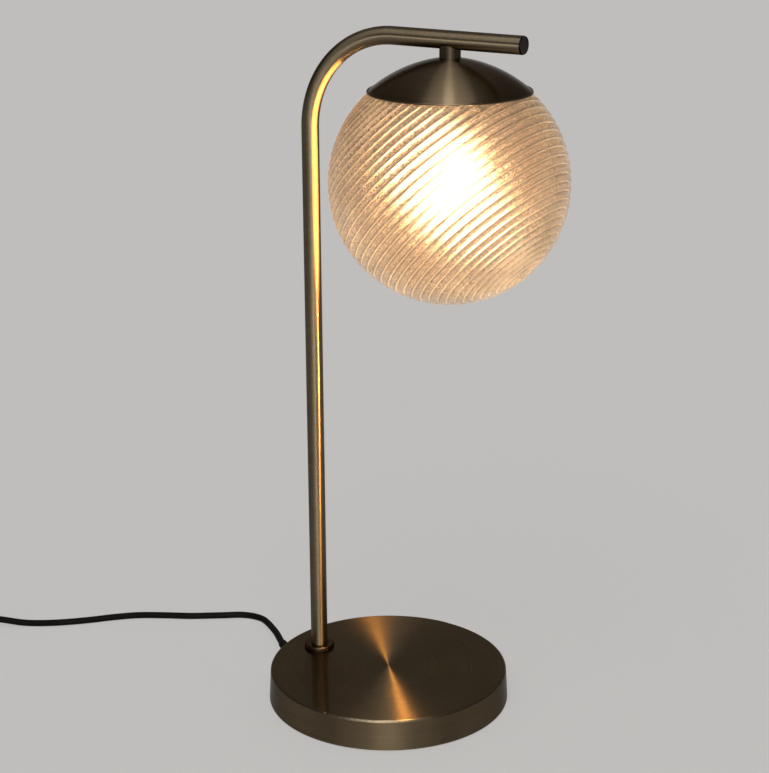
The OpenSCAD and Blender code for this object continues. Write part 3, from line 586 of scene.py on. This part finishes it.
class Skin:
    """A mesh that is built ring by ring."""

    def __init__(self) -> None:
        """Starts with no points."""
        self.points: list[Vector] = []
        self.faces: list[tuple[int, ...]] = []

    def ring(self, points: Iterable[Sequence[float]]) -> range:
        """Adds a ring of points.

        Args:
            points: The points.

        Returns:
            Their indices.
        """
        start = len(self.points)
        self.points.extend(Vector(point) for point in points)
        return range(start, len(self.points))

    def join(self, a: range, b: range) -> None:
        """Adds the faces between two closed rings, one of which may be a single point.

        Args:
            a: The first ring.
            b: The second ring.
        """
        count = max(len(a), len(b))
        for i in range(count):
            j = (i + 1) % count
            corners = (a[i % len(a)], a[j % len(a)], b[j % len(b)], b[i % len(b)])
            self.faces.append(tuple(dict.fromkeys(corners)))

    def turned(self, profile: Sequence[tuple[float, float]], angles: Sequence[float]) -> list[range]:
        """Turns a section round the Z axis.

        Args:
            profile: Radius and height of the section's points. A radius of 0 gives one point.
            angles: The angles of the section's copies.

        Returns:
            The rings, one for each point of the section.
        """
        rings = []
        for r, z in profile:
            if r < NO_LENGTH:
                rings.append(self.ring([(0.0, 0.0, z)]))
            else:
                rings.append(self.ring([(r * math.cos(a), r * math.sin(a), z) for a in angles]))
        for a, b in zip(rings, rings[1:]):
            self.join(a, b)
        return rings

    def add_to(self, made: BMesh) -> list[BMVert]:
        """Adds the skin to a bmesh.

        Args:
            made: The bmesh.

        Returns:
            The skin's corners in it.
        """
        corners = [made.verts.new(point) for point in self.points]
        for face in self.faces:
            made.faces.new([corners[i] for i in face])
        return corners

    def mesh(self) -> BMesh:
        """Makes a bmesh of the skin.

        Returns:
            The bmesh.
        """
        made = bmesh.new()
        self.add_to(made)
        return made


def even_angles(count: int) -> list[float]:
    """Gives that many even angles round a circle."""
    return [math.tau * i / count for i in range(count)]


def as_object(name: str, made: BMesh, place: Matrix | None = None, sharp: float = 40.0) -> Object:
    """Turns a bmesh into a shown object with smooth faces and sharp corners.

    Args:
        name: The object's name.
        made: The bmesh, which is freed.
        place: Where its points go, if not where they are.
        sharp: The angle in degrees from which an edge stays sharp.

    Returns:
        The object.
    """
    bmesh.ops.recalc_face_normals(made, faces=made.faces)
    data = bpy.data.meshes.new(name)
    if place is not None:
        made.transform(place)
    made.to_mesh(data)
    made.free()
    data.polygons.foreach_set("use_smooth", [True] * len(data.polygons))
    data.set_sharp_from_angle(angle=math.radians(sharp))
    piece = bpy.data.objects.new(name, data)
    bpy.context.scene.collection.objects.link(piece)
    return piece


def smooth_path(points: Sequence[Sequence[float]], steps: int) -> list[Vector]:
    """Gives a Catmull-Rom curve through the points.

    Args:
        points: The route's points.
        steps: The stretches between two of them.

    Returns:
        The curve's points.
    """
    route = [Vector(point) for point in points]
    ends = [2 * route[0] - route[1], *route, 2 * route[-1] - route[-2]]
    path = []
    for a, b, c, d in zip(ends, ends[1:], ends[2:], ends[3:]):
        for t in (i / steps for i in range(steps)):
            square, cube = (2 * a - 5 * b + 4 * c - d) * t**2, (3 * b - a - 3 * c + d) * t**3
            path.append(0.5 * (2 * b + (c - a) * t + square + cube))
    return [*path, route[-1]]


def tube_rings(path: Sequence[Vector], radii: Sequence[float], sides: int) -> list[list[Vector]]:
    """Gives round rings square to a path, turned as little as can be from one to the next.

    Args:
        path: The path's points.
        radii: The radius at each of them.
        sides: The points of a ring.

    Returns:
        The rings' points.
    """
    rings = []
    side = None
    for i, point in enumerate(path):
        way = (path[min(i + 1, len(path) - 1)] - path[max(i - 1, 0)]).normalized()
        if side is None:
            side = way.cross(Vector((0, 1, 0)) if abs(way.y) < MOSTLY_ALONG else Vector((0, 0, 1)))
        side = (side - way * side.dot(way)).normalized()
        up = way.cross(side)
        rings.append([point + radii[i] * (math.cos(a) * side + math.sin(a) * up) for a in even_angles(sides)])
    return rings


def pipe(path: Sequence[Vector], outer: Sequence[float], bore: float, sides: int) -> BMesh:
    """Makes a pipe along a path, open at both ends.

    Args:
        path: The path's points.
        outer: The outside's radius at each of them.
        bore: The bore's radius.
        sides: The points of a ring.

    Returns:
        The pipe, whose rings run out along the outside and back along the bore.
    """
    skin = Skin()
    inner = tube_rings(path, [bore] * len(path), sides)
    rings = [skin.ring(ring) for ring in (*tube_rings(path, outer, sides), *reversed(inner))]
    for a, b in zip(rings, [*rings[1:], rings[0]]):
        skin.join(a, b)
    return skin.mesh()


def cord_curve(name: str, path: Sequence[Vector], diameter: float) -> Object:
    """Makes a round cord as a curve of one open spline.

    Args:
        name: The object's name.
        path: The cord's centre line.
        diameter: The cord's diameter.

    Returns:
        The curve object.
    """
    data = bpy.data.curves.new(name, "CURVE")
    data.dimensions = "3D"
    data.bevel_depth = diameter / 2
    data.bevel_resolution = CORD_FACETS
    data.use_fill_caps = True
    spline = data.splines.new("POLY")
    spline.points.add(len(path) - 1)
    for corner, point in zip(spline.points, path):
        corner.co = (*point, 1.0)
    piece = bpy.data.objects.new(name, data)
    bpy.context.scene.collection.objects.link(piece)
    return piece


# The base's bronze, with a lighter colour on its rounded top edge that is partly wear and partly a painted
# highlight.
ANTIQUE = BrushedMetal(
    "antique_bronze_base", (0.138, 0.101, 0.056), (0.086, 0.062, 0.034), wear_and_highlight=(0.20, 0.16, 0.105)
)
# The cap's and the tube's copies of the antique bronze are painted lighter than the base's, as painted light.
ANTIQUE_CAP_PAINTED_LIGHTER = BrushedMetal(
    "antique_bronze_cap_painted_lighter", (0.180, 0.134, 0.082), (0.115, 0.084, 0.050), axis=(HANG_X, 0.0)
)
ANTIQUE_TUBE_PAINTED_LIGHTER = BrushedMetal(
    "antique_bronze_tube_painted_lighter", (0.225, 0.178, 0.112), (0.150, 0.116, 0.070), roughness=0.40, brush=Brush.HOOPED
)
DARK_BRONZE = BrushedMetal(
    "dark_bronze", (0.050, 0.036, 0.023), (0.030, 0.022, 0.015), roughness=0.27, anisotropy=0.6, lacquer=0.1
)
# The collar's copy of the neck's dark bronze is painted lighter, as painted light.
COLLAR_BRONZE_PAINTED_LIGHTER = replace(
    DARK_BRONZE, name="dark_bronze_collar_painted_lighter", colour=(0.100, 0.068, 0.038), deep=(0.064, 0.044, 0.025)
)
# The arm's end disc is painted near black, as painted shade for the dark that its face reflects.
END_DISC_PAINTED_DARK = PlainMetal("end_disc_painted_dark", (0.010, 0.007, 0.005), (0.006, 0.004, 0.003), roughness=0.4)
CAST_IRON = PlainMetal("cast_iron", (0.09, 0.09, 0.092), (0.05, 0.05, 0.052), roughness=0.62, depth=0.00012)
ZINC = PlainMetal("zinc_plate", (0.55, 0.56, 0.58), (0.42, 0.42, 0.43), roughness=0.34)
SPRING = PlainMetal("spring_steel", (0.42, 0.42, 0.44), (0.30, 0.30, 0.32), roughness=0.28)
BRASS = PlainMetal("brass", (0.68, 0.47, 0.19), (0.50, 0.33, 0.13), roughness=0.26)
NICKEL = PlainMetal("nickel_plate", (0.62, 0.59, 0.54), (0.50, 0.47, 0.43), roughness=0.2)
PLATE_PAINT = Moulded(
    "black_plate_paint", (0.018, 0.018, 0.019), (0.010, 0.010, 0.011),
    roughness=0.55, grain=0.001, depth=0.00006,
)
PAD = Moulded(
    "foot_foam", (0.022, 0.021, 0.020), (0.012, 0.012, 0.012), roughness=0.92, grain=0.0008, depth=0.00012
)
CREAM = Moulded("cream_thermoplastic", (0.80, 0.72, 0.58), (0.74, 0.65, 0.50), roughness=0.34)
CERAMIC = Moulded("insert_ceramic", (0.74, 0.72, 0.68), (0.66, 0.63, 0.58), roughness=0.22, coat=0.4)
WIRE = Moulded("wire_insulation", (0.45, 0.18, 0.08), (0.34, 0.13, 0.06), roughness=0.4)
SEAL = Moulded("clear_seal", (0.62, 0.60, 0.55), (0.52, 0.50, 0.46), roughness=0.5)
BOARD = Moulded("light_board", (0.80, 0.80, 0.76), (0.70, 0.70, 0.66), roughness=0.4)
BULB_WHITE = LitOpal("bulb_shell", strength=12.0, spill=6.0)
BLACK_GLASS = Moulded("black_glass", (0.012, 0.011, 0.012), (0.006, 0.006, 0.007), roughness=0.1, coat=0.6)
BLACK_CASE = Moulded("black_case", (0.020, 0.020, 0.021), (0.013, 0.013, 0.014), roughness=0.36, grain=0.0005)
BLACK_RUBBER = Moulded(
    "black_rubber", (0.007, 0.007, 0.007), (0.004, 0.004, 0.004), roughness=0.7, gloss=0.06
)
CLAMP = Moulded("clamp_plastic", (0.70, 0.68, 0.62), (0.62, 0.60, 0.54), roughness=0.45)
JACKET = Moulded(
    "cord_jacket", (0.006, 0.0055, 0.005), (0.003, 0.003, 0.003),
    roughness=0.6, grain=0.0007, depth=0.00002, gloss=0.06,
)
ROCKER = Moulded("rocker_black", (0.030, 0.030, 0.032), (0.022, 0.022, 0.024), roughness=0.24, coat=0.3)
TIE = Moulded("tie_plastic", (0.018, 0.018, 0.018), (0.011, 0.011, 0.011), roughness=0.5)
PLUG = Moulded("plug_black", (0.018, 0.018, 0.018), (0.011, 0.011, 0.011), roughness=0.48, grain=0.0006)
GLASS = PressedGlass("ribbed_glass", GLOBE_CENTRE, RIB_AXIS, RIB_COUNT)
OPAL = LitOpal("lit_opal")


@dataclass
class BaseAssembly:
    """The round base: spun cover, weight, plate, pad and screws."""

    def build(self) -> None:
        """Dresses the base's pieces."""
        dress(ANTIQUE, "base_cover")
        dress(CAST_IRON, "base_weight")
        dress(PLATE_PAINT, "base_plate")
        dress(PAD, "foot_pad")
        dress(ZINC, "plate_screws", "clamp_screws")
        dress(CLAMP, "cord_clamp")


@dataclass
class StemAssembly:
    """Stem, bend and arm in one tube, with its collar, end disc and clamping parts."""

    radius: float = 0.006
    wall: float = 0.001
    foot: float = 0.0228
    bend_radius: float = 0.066
    arm_end: float = 0.1014
    sides: int = 64
    stem_steps: int = 24
    bend_steps: int = 48
    arm_steps: int = 12

    def centre_line(self) -> list[Vector]:
        """Gives the tube's centre line from its foot to the arm's end.

        Returns:
            Its points.
        """
        bend_x, bend_z = STEM_X + self.bend_radius, ARM_Z - self.bend_radius
        rise, reach = bend_z - self.foot, self.arm_end - bend_x
        path = [Vector((STEM_X, 0.0, self.foot + rise * i / self.stem_steps)) for i in range(self.stem_steps)]
        for i in range(self.bend_steps + 1):
            turn = math.pi / 2 * i / self.bend_steps
            out, up = -self.bend_radius * math.cos(turn), self.bend_radius * math.sin(turn)
            path.append(Vector((bend_x + out, 0.0, bend_z + up)))
        path.extend(
            Vector((bend_x + reach * i / self.arm_steps, 0.0, ARM_Z)) for i in range(1, self.arm_steps + 1)
        )
        return path

    def tube(self) -> Object:
        """Makes the bent tube with a map that runs round and along it.

        Returns:
            The tube.
        """
        path = self.centre_line()
        count = len(path)
        made = pipe(path, [self.radius] * count, self.radius - self.wall, self.sides)
        made.verts.index_update()
        lengths = [0.0]
        for a, b in zip(path, path[1:]):
            lengths.append(lengths[-1] + (b - a).length)
        layer = made.loops.layers.uv.new(TUBE_MAP)
        for face in made.faces:
            columns = [loop.vert.index % self.sides for loop in face.loops]
            wraps = max(columns) - min(columns) > 1
            for loop, column in zip(face.loops, columns):
                row = loop.vert.index // self.sides
                row = row if row < count else 2 * count - 1 - row
                turn = (column + self.sides if wraps and column == 0 else column) / self.sides
                loop[layer].uv = (turn, lengths[row])
        return as_object("bent_tube", made)

    def build(self) -> None:
        """Makes the tube and dresses the rest."""
        hand_over(self.tube(), ANTIQUE_TUBE_PAINTED_LIGHTER, Body.LAMP, "bronze", "stem_tube")
        dress(COLLAR_BRONZE_PAINTED_LIGHTER, "stem_collar")
        dress(END_DISC_PAINTED_DARK, "arm_end_cap")
        dress(ZINC, "stem_nipple", "stem_washer", "stem_nut")


@dataclass
class CapAssembly:
    """The neck under the arm, the spun cap and the parts that hold the glass."""

    def build(self) -> None:
        """Dresses the cap's pieces."""
        dress(DARK_BRONZE, "hanger_neck")
        dress(ANTIQUE_CAP_PAINTED_LIGHTER, "dome_cap")
        dress(ZINC, "cap_washer", "hanger_nut", "clip_rivets", "glass_gallery")
        dress(SPRING, "spring_clips")


@dataclass
class GlobeAssembly:
    """The ribbed glass ball with its neck, and the soft seal on it."""

    radius: float = 0.079
    rib_radius: float = 0.0036
    wall: float = 0.003
    shoulder: float = 0.059
    neck_radius: float = 0.0395
    neck_height: float = 0.0055
    lip: float = 0.0008
    lip_corner: float = 0.0003
    around: int = 180
    neck_around: int = 96
    seam_width: float = math.radians(0.35)
    seam_height: float = 0.0002
    inner_share: float = 0.2
    rib_shares: tuple[float, ...] = (-1.0, -0.9, -0.66, -0.34, 0.0, 0.34, 0.66, 0.9)

    def section(self, wall: float, share: float) -> list[tuple[float, float]]:
        """Gives half a ribbed ball's section from pole to pole, as a row of equal arcs.

        Args:
            wall: How far it lies under the outside's grooves.
            share: How high its ribs are, as a share of the outside's.

        Returns:
            Radius and height of its points.
        """
        pitch = math.pi / RIB_COUNT
        ring = self.radius - self.rib_radius
        groove = self.reach(ring, pitch / 2)
        profile = []
        for rib in range(RIB_COUNT + 1):
            for step in self.rib_shares:
                angle = (rib + step / 2) * pitch
                if -NO_ANGLE <= angle <= math.pi + NO_ANGLE:
                    reach = groove - wall + share * (self.reach(ring, step * pitch / 2) - groove)
                    profile.append((reach * math.sin(angle), -reach * math.cos(angle)))
        return profile

    def reach(self, ring: float, lean: float) -> float:
        """Gives how far a rib reaches from the ball's centre, at an angle from the rib's middle."""
        return ring * math.cos(lean) + math.sqrt(self.rib_radius**2 - (ring * math.sin(lean)) ** 2)

    def ball(self, profile: Sequence[tuple[float, float]], top: float, seam: float) -> BMesh:
        """Makes one side of the ribbed ball, cut off at a height.

        Args:
            profile: Its section.
            top: The height over the ball's centre.
            seam: How far the mould's seam stands proud.

        Returns:
            The skin, open at the cut.
        """
        beside_seam = (a + side * self.seam_width for a in (0.0, math.pi) for side in (-1, 1))
        angles = sorted([*even_angles(self.around), *beside_seam])
        skin = Skin()
        skin.turned(profile, angles)
        for point in skin.points:
            if abs(point.y) < SAME_PLACE:
                point += point.normalized() * seam
        made = skin.mesh()
        made.transform(Matrix.Rotation(-RIB_TILT, 4, "Y"))
        bmesh.ops.bisect_plane(
            made, geom=[*made.verts, *made.edges, *made.faces], dist=NO_LENGTH,
            plane_co=(0, 0, top), plane_no=(0, 0, 1), clear_outer=True,
        )
        return made

    def neck_section(self) -> list[tuple[float, float]]:
        """Gives the neck's section, from the shoulder over its rim and down its bore.

        Returns:
            Radius and height of its points.
        """
        top = self.shoulder + self.neck_height
        outer, bore = self.neck_radius, self.neck_radius - self.wall
        lip, corner = self.lip, self.lip_corner
        return [
            (outer, self.shoulder), (outer, top - lip), (outer - corner, top - corner), (outer - lip, top),
            (bore + lip, top), (bore + corner, top - corner), (bore, top - lip),
            (bore, self.shoulder - self.wall),
        ]

    def glass(self) -> Object:
        """Makes the whole glass as one closed skin.

        Returns:
            The glass.
        """
        made = self.ball(self.section(0.0, 1.0), self.shoulder, self.seam_height)
        inner = self.ball(self.section(self.wall, self.inner_share), self.shoulder - self.wall, 0.0)
        copy = bpy.data.meshes.new("inner_skin")
        inner.to_mesh(copy)
        inner.free()
        made.from_mesh(copy)
        bpy.data.meshes.remove(copy)
        rims = [edge for edge in made.edges if edge.is_boundary]
        skin = Skin()
        rings = skin.turned(self.neck_section(), even_angles(self.neck_around))
        neck = skin.add_to(made)
        for ring in (rings[0], rings[-1]):
            height = skin.points[ring[0]].z
            rim = [edge for edge in rims if abs(edge.verts[0].co.z - height) < SAME_HEIGHT]
            loop = [made.edges.get((neck[i], neck[j])) for i, j in zip(ring, [*ring[1:], ring[0]])]
            bmesh.ops.triangle_fill(made, use_beauty=True, edges=[*rim, *loop], normal=(0, 0, 1))
        return as_object("ribbed_globe", made, Matrix.Translation(GLOBE_CENTRE), sharp=60.0)

    def build(self) -> None:
        """Makes the glass and dresses the seal."""
        hand_over(self.glass(), GLASS, Body.GLOBE, "globe_glass", "glass_globe")
        dress(SEAL, "globe_seal")


@dataclass
class LampholderAssembly:
    """The lampholder's cream body with its insert, contacts and wires."""

    def build(self) -> None:
        """Dresses the lampholder's pieces."""
        dress(CREAM, "holder_cap", "holder_skirt")
        dress(CERAMIC, "holder_insert")
        dress(BRASS, "thread_shell", "centre_contact")
        dress(WIRE, "inner_wires")


@dataclass
class BulbAssembly:
    """The lit bulb: opal dome, board, body and screw cap."""

    def build(self) -> None:
        """Dresses the bulb's pieces."""
        dress(OPAL, "bulb_dome")
        dress(BOARD, "led_board")
        dress(BULB_WHITE, "bulb_body")
        dress(NICKEL, "bulb_cap", "bulb_contact")
        dress(BLACK_GLASS, "bulb_insulator")


@dataclass
class CordAssembly:
    """The mains cord with its bushing, switch, coil, tie and plug, by the route in the part's source."""

    diameter: float = 0.005
    steps: int = 6
    lead_route: tuple[Point, ...] = (
        (-0.064, 0.003, 0.008), (-0.069, 0.0053, 0.008), (-0.07469, 0.00651, 0.008),
        (-0.08369, 0.00731, 0.008), (-0.09069, 0.00791, 0.008), (-0.09699, 0.00956, 0.008),
        (-0.10339, 0.01366, 0.0078), (-0.11099, 0.02046, 0.0072), (-0.11969, 0.02856, 0.0064),
        (-0.12899, 0.03616, 0.0054), (-0.13839, 0.04336, 0.0042), (-0.14799, 0.04916, 0.0032),
        (-0.15849, 0.05056, 0.0026), (-0.16849, 0.04736, 0.0025), (-0.17799, 0.04056, 0.0025),
        (-0.18899, 0.03286, 0.0025), (-0.20099, 0.02476, 0.0025), (-0.21899, 0.01516, 0.0025),
        (-0.23599, 0.00496, 0.0025), (-0.24999, -0.00754, 0.0025), (-0.26599, -0.02484, 0.0025),
        (-0.28399, -0.04104, 0.0025), (-0.30199, -0.05304, 0.0028), (-0.31699, -0.06154, 0.005),
        (-0.32549, -0.06604, 0.006), (-0.33329, -0.07074, 0.006),
    )
    run_route: tuple[Point, ...] = (
        (-0.37219, -0.09504, 0.006), (-0.37899, -0.09934, 0.006), (-0.38579, -0.10354, 0.0052),
        (-0.39259, -0.10774, 0.004), (-0.39939, -0.11204, 0.0033), (-0.40449, -0.11524, 0.0033),
    )
    tail_route: tuple[Point, ...] = (
        (-0.37399, -0.19104, 0.0084), (-0.36499, -0.19104, 0.007), (-0.35499, -0.19054, 0.0052),
        (-0.34499, -0.18984, 0.0047), (-0.33599, -0.18904, 0.0055), (-0.32699, -0.18824, 0.0067),
        (-0.31799, -0.18734, 0.00685), (-0.30799, -0.18634, 0.00685),
    )
    switch_angle: float = math.radians(212)
    coil_in: float = 0.022
    coil_pitch: float = 0.00545
    coil_turns: float = 6.41
    coil_z: float = 0.0033
    coil_steps: int = 48
    climb_turns: float = 0.5
    sleeve_steps: int = 12
    sleeve_from: int = 42
    sleeve_to: int = 73
    sleeve_radius: float = 0.0043
    sleeve_taper: float = 0.0011
    sleeve_bore: float = 0.0026
    sleeve_sides: int = 40
    groove_depth: float = 0.00045
    groove_every: int = 5
    groove_from: int = 3
    plain_end: int = 3

    def coil(self) -> list[Vector]:
        """Gives the coil's centre line: in on the table, then out again on the layer above.

        Returns:
            Its points.
        """
        ahead = Vector((math.cos(self.switch_angle), math.sin(self.switch_angle), 0.0))
        out = self.coil_in + self.coil_pitch * self.coil_turns / 2
        middle = Vector(self.run_route[-1]) + ahead * self.diameter + out * Vector((-ahead.y, ahead.x, 0.0))
        count = round(self.coil_turns * self.coil_steps)
        path = []
        for i in range(count + 1):
            turn = self.coil_turns * i / count
            past = turn - self.coil_turns / 2
            angle = self.switch_angle - math.pi / 2 + math.tau * turn
            radius = self.coil_in + self.coil_pitch * abs(past)
            share = min(max(past / self.climb_turns + 0.5, 0.0), 1.0)
            z = self.coil_z + self.coil_pitch * share * share * (3 - 2 * share)
            path.append(Vector((middle.x + radius * math.cos(angle), middle.y + radius * math.sin(angle), z)))
        return path

    def lead(self) -> Object:
        """Makes the cord from inside the base to the switch."""
        return cord_curve("lead_cord", smooth_path(self.lead_route, self.steps), self.diameter)

    def rest(self) -> Object:
        """Makes the cord from the switch through the coil to the plug.

        Returns:
            The cord.
        """
        coil = self.coil()
        out = (coil[-1] - coil[-2]).normalized() * self.diameter
        tail = smooth_path([tuple(coil[-1] + out), *self.tail_route], self.steps)
        run = smooth_path(self.run_route, self.steps)
        return cord_curve("coiled_cord", [*run, *coil, *tail], self.diameter)

    def sleeve(self) -> Object:
        """Makes the ribbed sleeve that bends with the cord behind the base.

        Returns:
            The sleeve.
        """
        path = smooth_path(self.lead_route, self.sleeve_steps)[self.sleeve_from:self.sleeve_to]
        count = len(path)
        outer = [self.sleeve_radius - self.sleeve_taper * i / (count - 1) for i in range(count)]
        for i in range(count - self.plain_end):
            if i % self.groove_every >= self.groove_from:
                outer[i] -= self.groove_depth
        made = pipe(path, outer, self.sleeve_bore, self.sleeve_sides)
        return as_object("bend_sleeve", made, sharp=50.0)

    def build(self) -> None:
        sleeve = hand_over(self.sleeve(), BLACK_RUBBER, Body.LAMP, "black_rubber", "cord_relief")
        dress(BLACK_CASE, "cord_gland", "switch_base", "switch_top")
        dress(ROCKER, "switch_rocker")
        dress(BRASS, "switch_contacts")
        dress(ZINC, "switch_screws")
        dress(TIE, "cord_tie")
        dress(PLUG, "plug_body")
        dress(NICKEL, "plug_pins")
        lead = hand_over(self.lead(), JACKET, Body.LAMP, "cord_jacket", "cord_lead")
        rest = hand_over(self.rest(), JACKET, Body.LAMP, "cord_jacket", "cord_run", "cord_coil", "cord_tail")

    @staticmethod
    def length(cord: Object) -> float:
        """Gives the length of a cord's centre line."""
        points = [corner.co.to_3d() for corner in cord.data.splines[0].points]
        return sum((b - a).length for a, b in zip(points, points[1:]))


@dataclass(frozen=True)
class StudioLight:
    """A round or long area lamp, or the sun, whose size is its angle in radians."""

    name: str
    place: Point
    towards: Point
    energy: float
    size: tuple[float, float]
    colour: Colour = (1.0, 1.0, 1.0)
    kind: LightKind = LightKind.AREA

    def lamp(self) -> Object:
        """Makes the lamp.

        Returns:
            The lamp.
        """
        data = bpy.data.lights.new(self.name, self.kind.value)
        data.energy = self.energy
        data.color = self.colour
        if self.kind is LightKind.AREA:
            data.shape = "ELLIPSE"
            data.size, data.size_y = self.size
        else:
            data.angle = self.size[0]
        made = bpy.data.objects.new(self.name, data)
        way = Vector(self.towards) - Vector(self.place)
        turn = way.to_track_quat("-Z", "Y").to_matrix().to_4x4()
        made.matrix_world = Matrix.Translation(self.place) @ turn
        bpy.context.scene.collection.objects.link(made)
        return made


SKY = StudioLight(
    "sky_lamp", (0.4, -1.2, 2.0), (0.0, 0.0, 0.0), 1.2, (math.radians(40), 0.0), kind=LightKind.SUN
)
KEY_BOX = StudioLight("key_box", (0.425, -0.673, 1.52), (0.0, 0.0, 0.25), 5.5, (0.26, 1.7))
LOW_BOX = StudioLight("low_box", (1.01, -1.61, 0.42), (0.0, 0.0, 0.2), 8.0, (1.1, 0.4))
BOXES = (
    KEY_BOX, replace(KEY_BOX, energy=9.0, size=(1.5, 1.7)),
    LOW_BOX, replace(LOW_BOX, energy=6.5, size=(2.6, 0.4)), replace(LOW_BOX, energy=11.0, size=(4.4, 0.4)),
)
GLINTS = (
    StudioLight(
        "bulb_glint", (0.041, 0.0, 0.25), (-0.369, 0.647, -0.393), 1.0, (0.012, 0.012), (1.0, 0.50, 0.14)
    ),
    StudioLight(
        "stem_glint", (-0.0315, 0.0, 0.37), (-0.06, 0.0, 0.37), 0.31, (0.05, 0.16), (1.0, 0.46, 0.15)
    ),
)


@dataclass
class Studio:
    """The table top, the pale surroundings, the lamps and the camera.

    The surroundings that metal and glass reflect darken from the backdrop to the wall as they rise through
    wall_fade, and to the sides of the camera's view through side_fade. Ambient is the light that they throw
    on matt surfaces, and floor_share how much of the table shows the backdrop in place of its own shade.
    """

    backdrop: Colour = (0.533, 0.521, 0.509)
    table: Colour = (0.66, 0.65, 0.64)
    camera_place: Point = (0.6548, -1.0345, 0.6320)
    camera_right: Point = (0.8453, 0.5343, -0.0057)
    camera_up: Point = (-0.1606, 0.2642, 0.9510)
    camera_ahead: Point = (-0.5097, 0.8029, -0.3091)
    lens: float = 87.725
    sensor: float = 36.0
    clip: tuple[float, float] = (0.05, 60.0)
    floor_radius: float = 14.0
    floor_z: float = -0.0001
    floor_sides: int = 96
    floor_share: float = 0.8
    ambient: float = 0.42
    dim_wall: Colour = (0.33, 0.31, 0.29)
    wall_fade: Band = (0.02, 0.30)
    dim_side: Colour = (0.030, 0.027, 0.024)
    side_fade: Band = (0.15, 0.65)

    def camera(self) -> None:
        """Sets the camera where the photograph was taken from."""
        data = bpy.data.cameras.new("photo_camera")
        data.sensor_fit = "HORIZONTAL"
        data.sensor_width = self.sensor
        data.lens = self.lens
        data.clip_start, data.clip_end = self.clip
        made = bpy.data.objects.new("photo_camera", data)
        axes = (self.camera_right, self.camera_up, self.camera_ahead)
        right, up, ahead = (Vector(axis).normalized() for axis in axes)
        turn = Matrix((right, up, -ahead)).transposed().to_4x4()
        made.matrix_world = Matrix.Translation(self.camera_place) @ turn
        bpy.context.scene.collection.objects.link(made)
        bpy.context.scene.camera = made

    def seen(self, board: Board) -> NodeSocket:
        """Gives 1 for rays that show the surroundings themselves, straight, in metal or through glass.

        Args:
            board: The board to build on.

        Returns:
            The number.
        """
        path = board.node("ShaderNodeLightPath")
        either = board.math("MAXIMUM", path.outputs["Is Camera Ray"], path.outputs["Is Glossy Ray"])
        return board.math("MAXIMUM", either, path.outputs["Is Transmission Ray"])

    def floor(self) -> None:
        """Makes the table top, which is as pale as the surroundings and keeps the shadow."""
        skin = Skin()
        skin.turned([(0.0, self.floor_z), (self.floor_radius, self.floor_z)], even_angles(self.floor_sides))
        piece = as_object("table_top", skin.mesh())
        material, board = new_board("table_paper")
        diffuse = board.node("ShaderNodeBsdfDiffuse", self.table)
        glow = board.node("ShaderNodeEmission", self.backdrop, 1.0)
        share = board.math("MULTIPLY", self.seen(board), self.floor_share)
        mix = board.node("ShaderNodeMixShader", share, diffuse.outputs[0], glow.outputs[0])
        board.show(mix)
        piece.data.materials.append(material)

    def world(self) -> None:
        """Makes the pale surroundings."""
        world = bpy.data.worlds.new("pale_room")
        world.use_nodes = True
        board = Board(world.node_tree, "ShaderNodeOutputWorld")
        ambient = (self.ambient,) * 3
        way = board.node("ShaderNodeTexCoord").outputs["Generated"]
        side = board.node("ShaderNodeVectorMath", way, self.camera_right, operation="DOT_PRODUCT")
        share = board.spread(board.math("ABSOLUTE", side.outputs["Value"]), *self.side_fade)
        height = board.spread(board.split(way)[2], *self.wall_fade)
        room = board.blend(share, board.blend(height, self.backdrop, self.dim_wall), self.dim_side)
        path = board.node("ShaderNodeLightPath")
        shown = board.blend(path.outputs["Is Camera Ray"], room, self.backdrop)
        background = board.node("ShaderNodeBackground", board.blend(self.seen(board), ambient, shown), 1.0)
        board.show(background)
        bpy.context.scene.world = world

    def lamps(self) -> None:
        """Adds the sky lamp, and those that show in metal and glass but throw no light on matt surfaces."""
        sky = SKY.lamp()
        sky.visible_glossy = False
        for light in (*BOXES, *GLINTS):
            lamp = light.lamp()
            lamp.visible_camera = lamp.visible_diffuse = False
            if light in GLINTS:
                lamp.visible_transmission = False

    def build(self) -> None:
        """Sets up the floor, surroundings and lamps."""
        self.floor()
        self.world()
        self.lamps()


def main() -> None:
    """Builds the looks of the lamp piece by piece."""
    logging.basicConfig(level=logging.INFO, format="%(name)s: %(message)s")
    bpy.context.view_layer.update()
    studio = Studio()
    bpy.context.scene.view_settings.view_transform = "Standard"
    studio.camera()
    for assembly in (
        CordAssembly(), BaseAssembly(), StemAssembly(), CapAssembly(), GlobeAssembly(),
        LampholderAssembly(), BulbAssembly(), studio,
    ):
        assembly.build()
        log.info("%s is done", type(assembly).__name__)


if __name__ == "__main__":
    main()
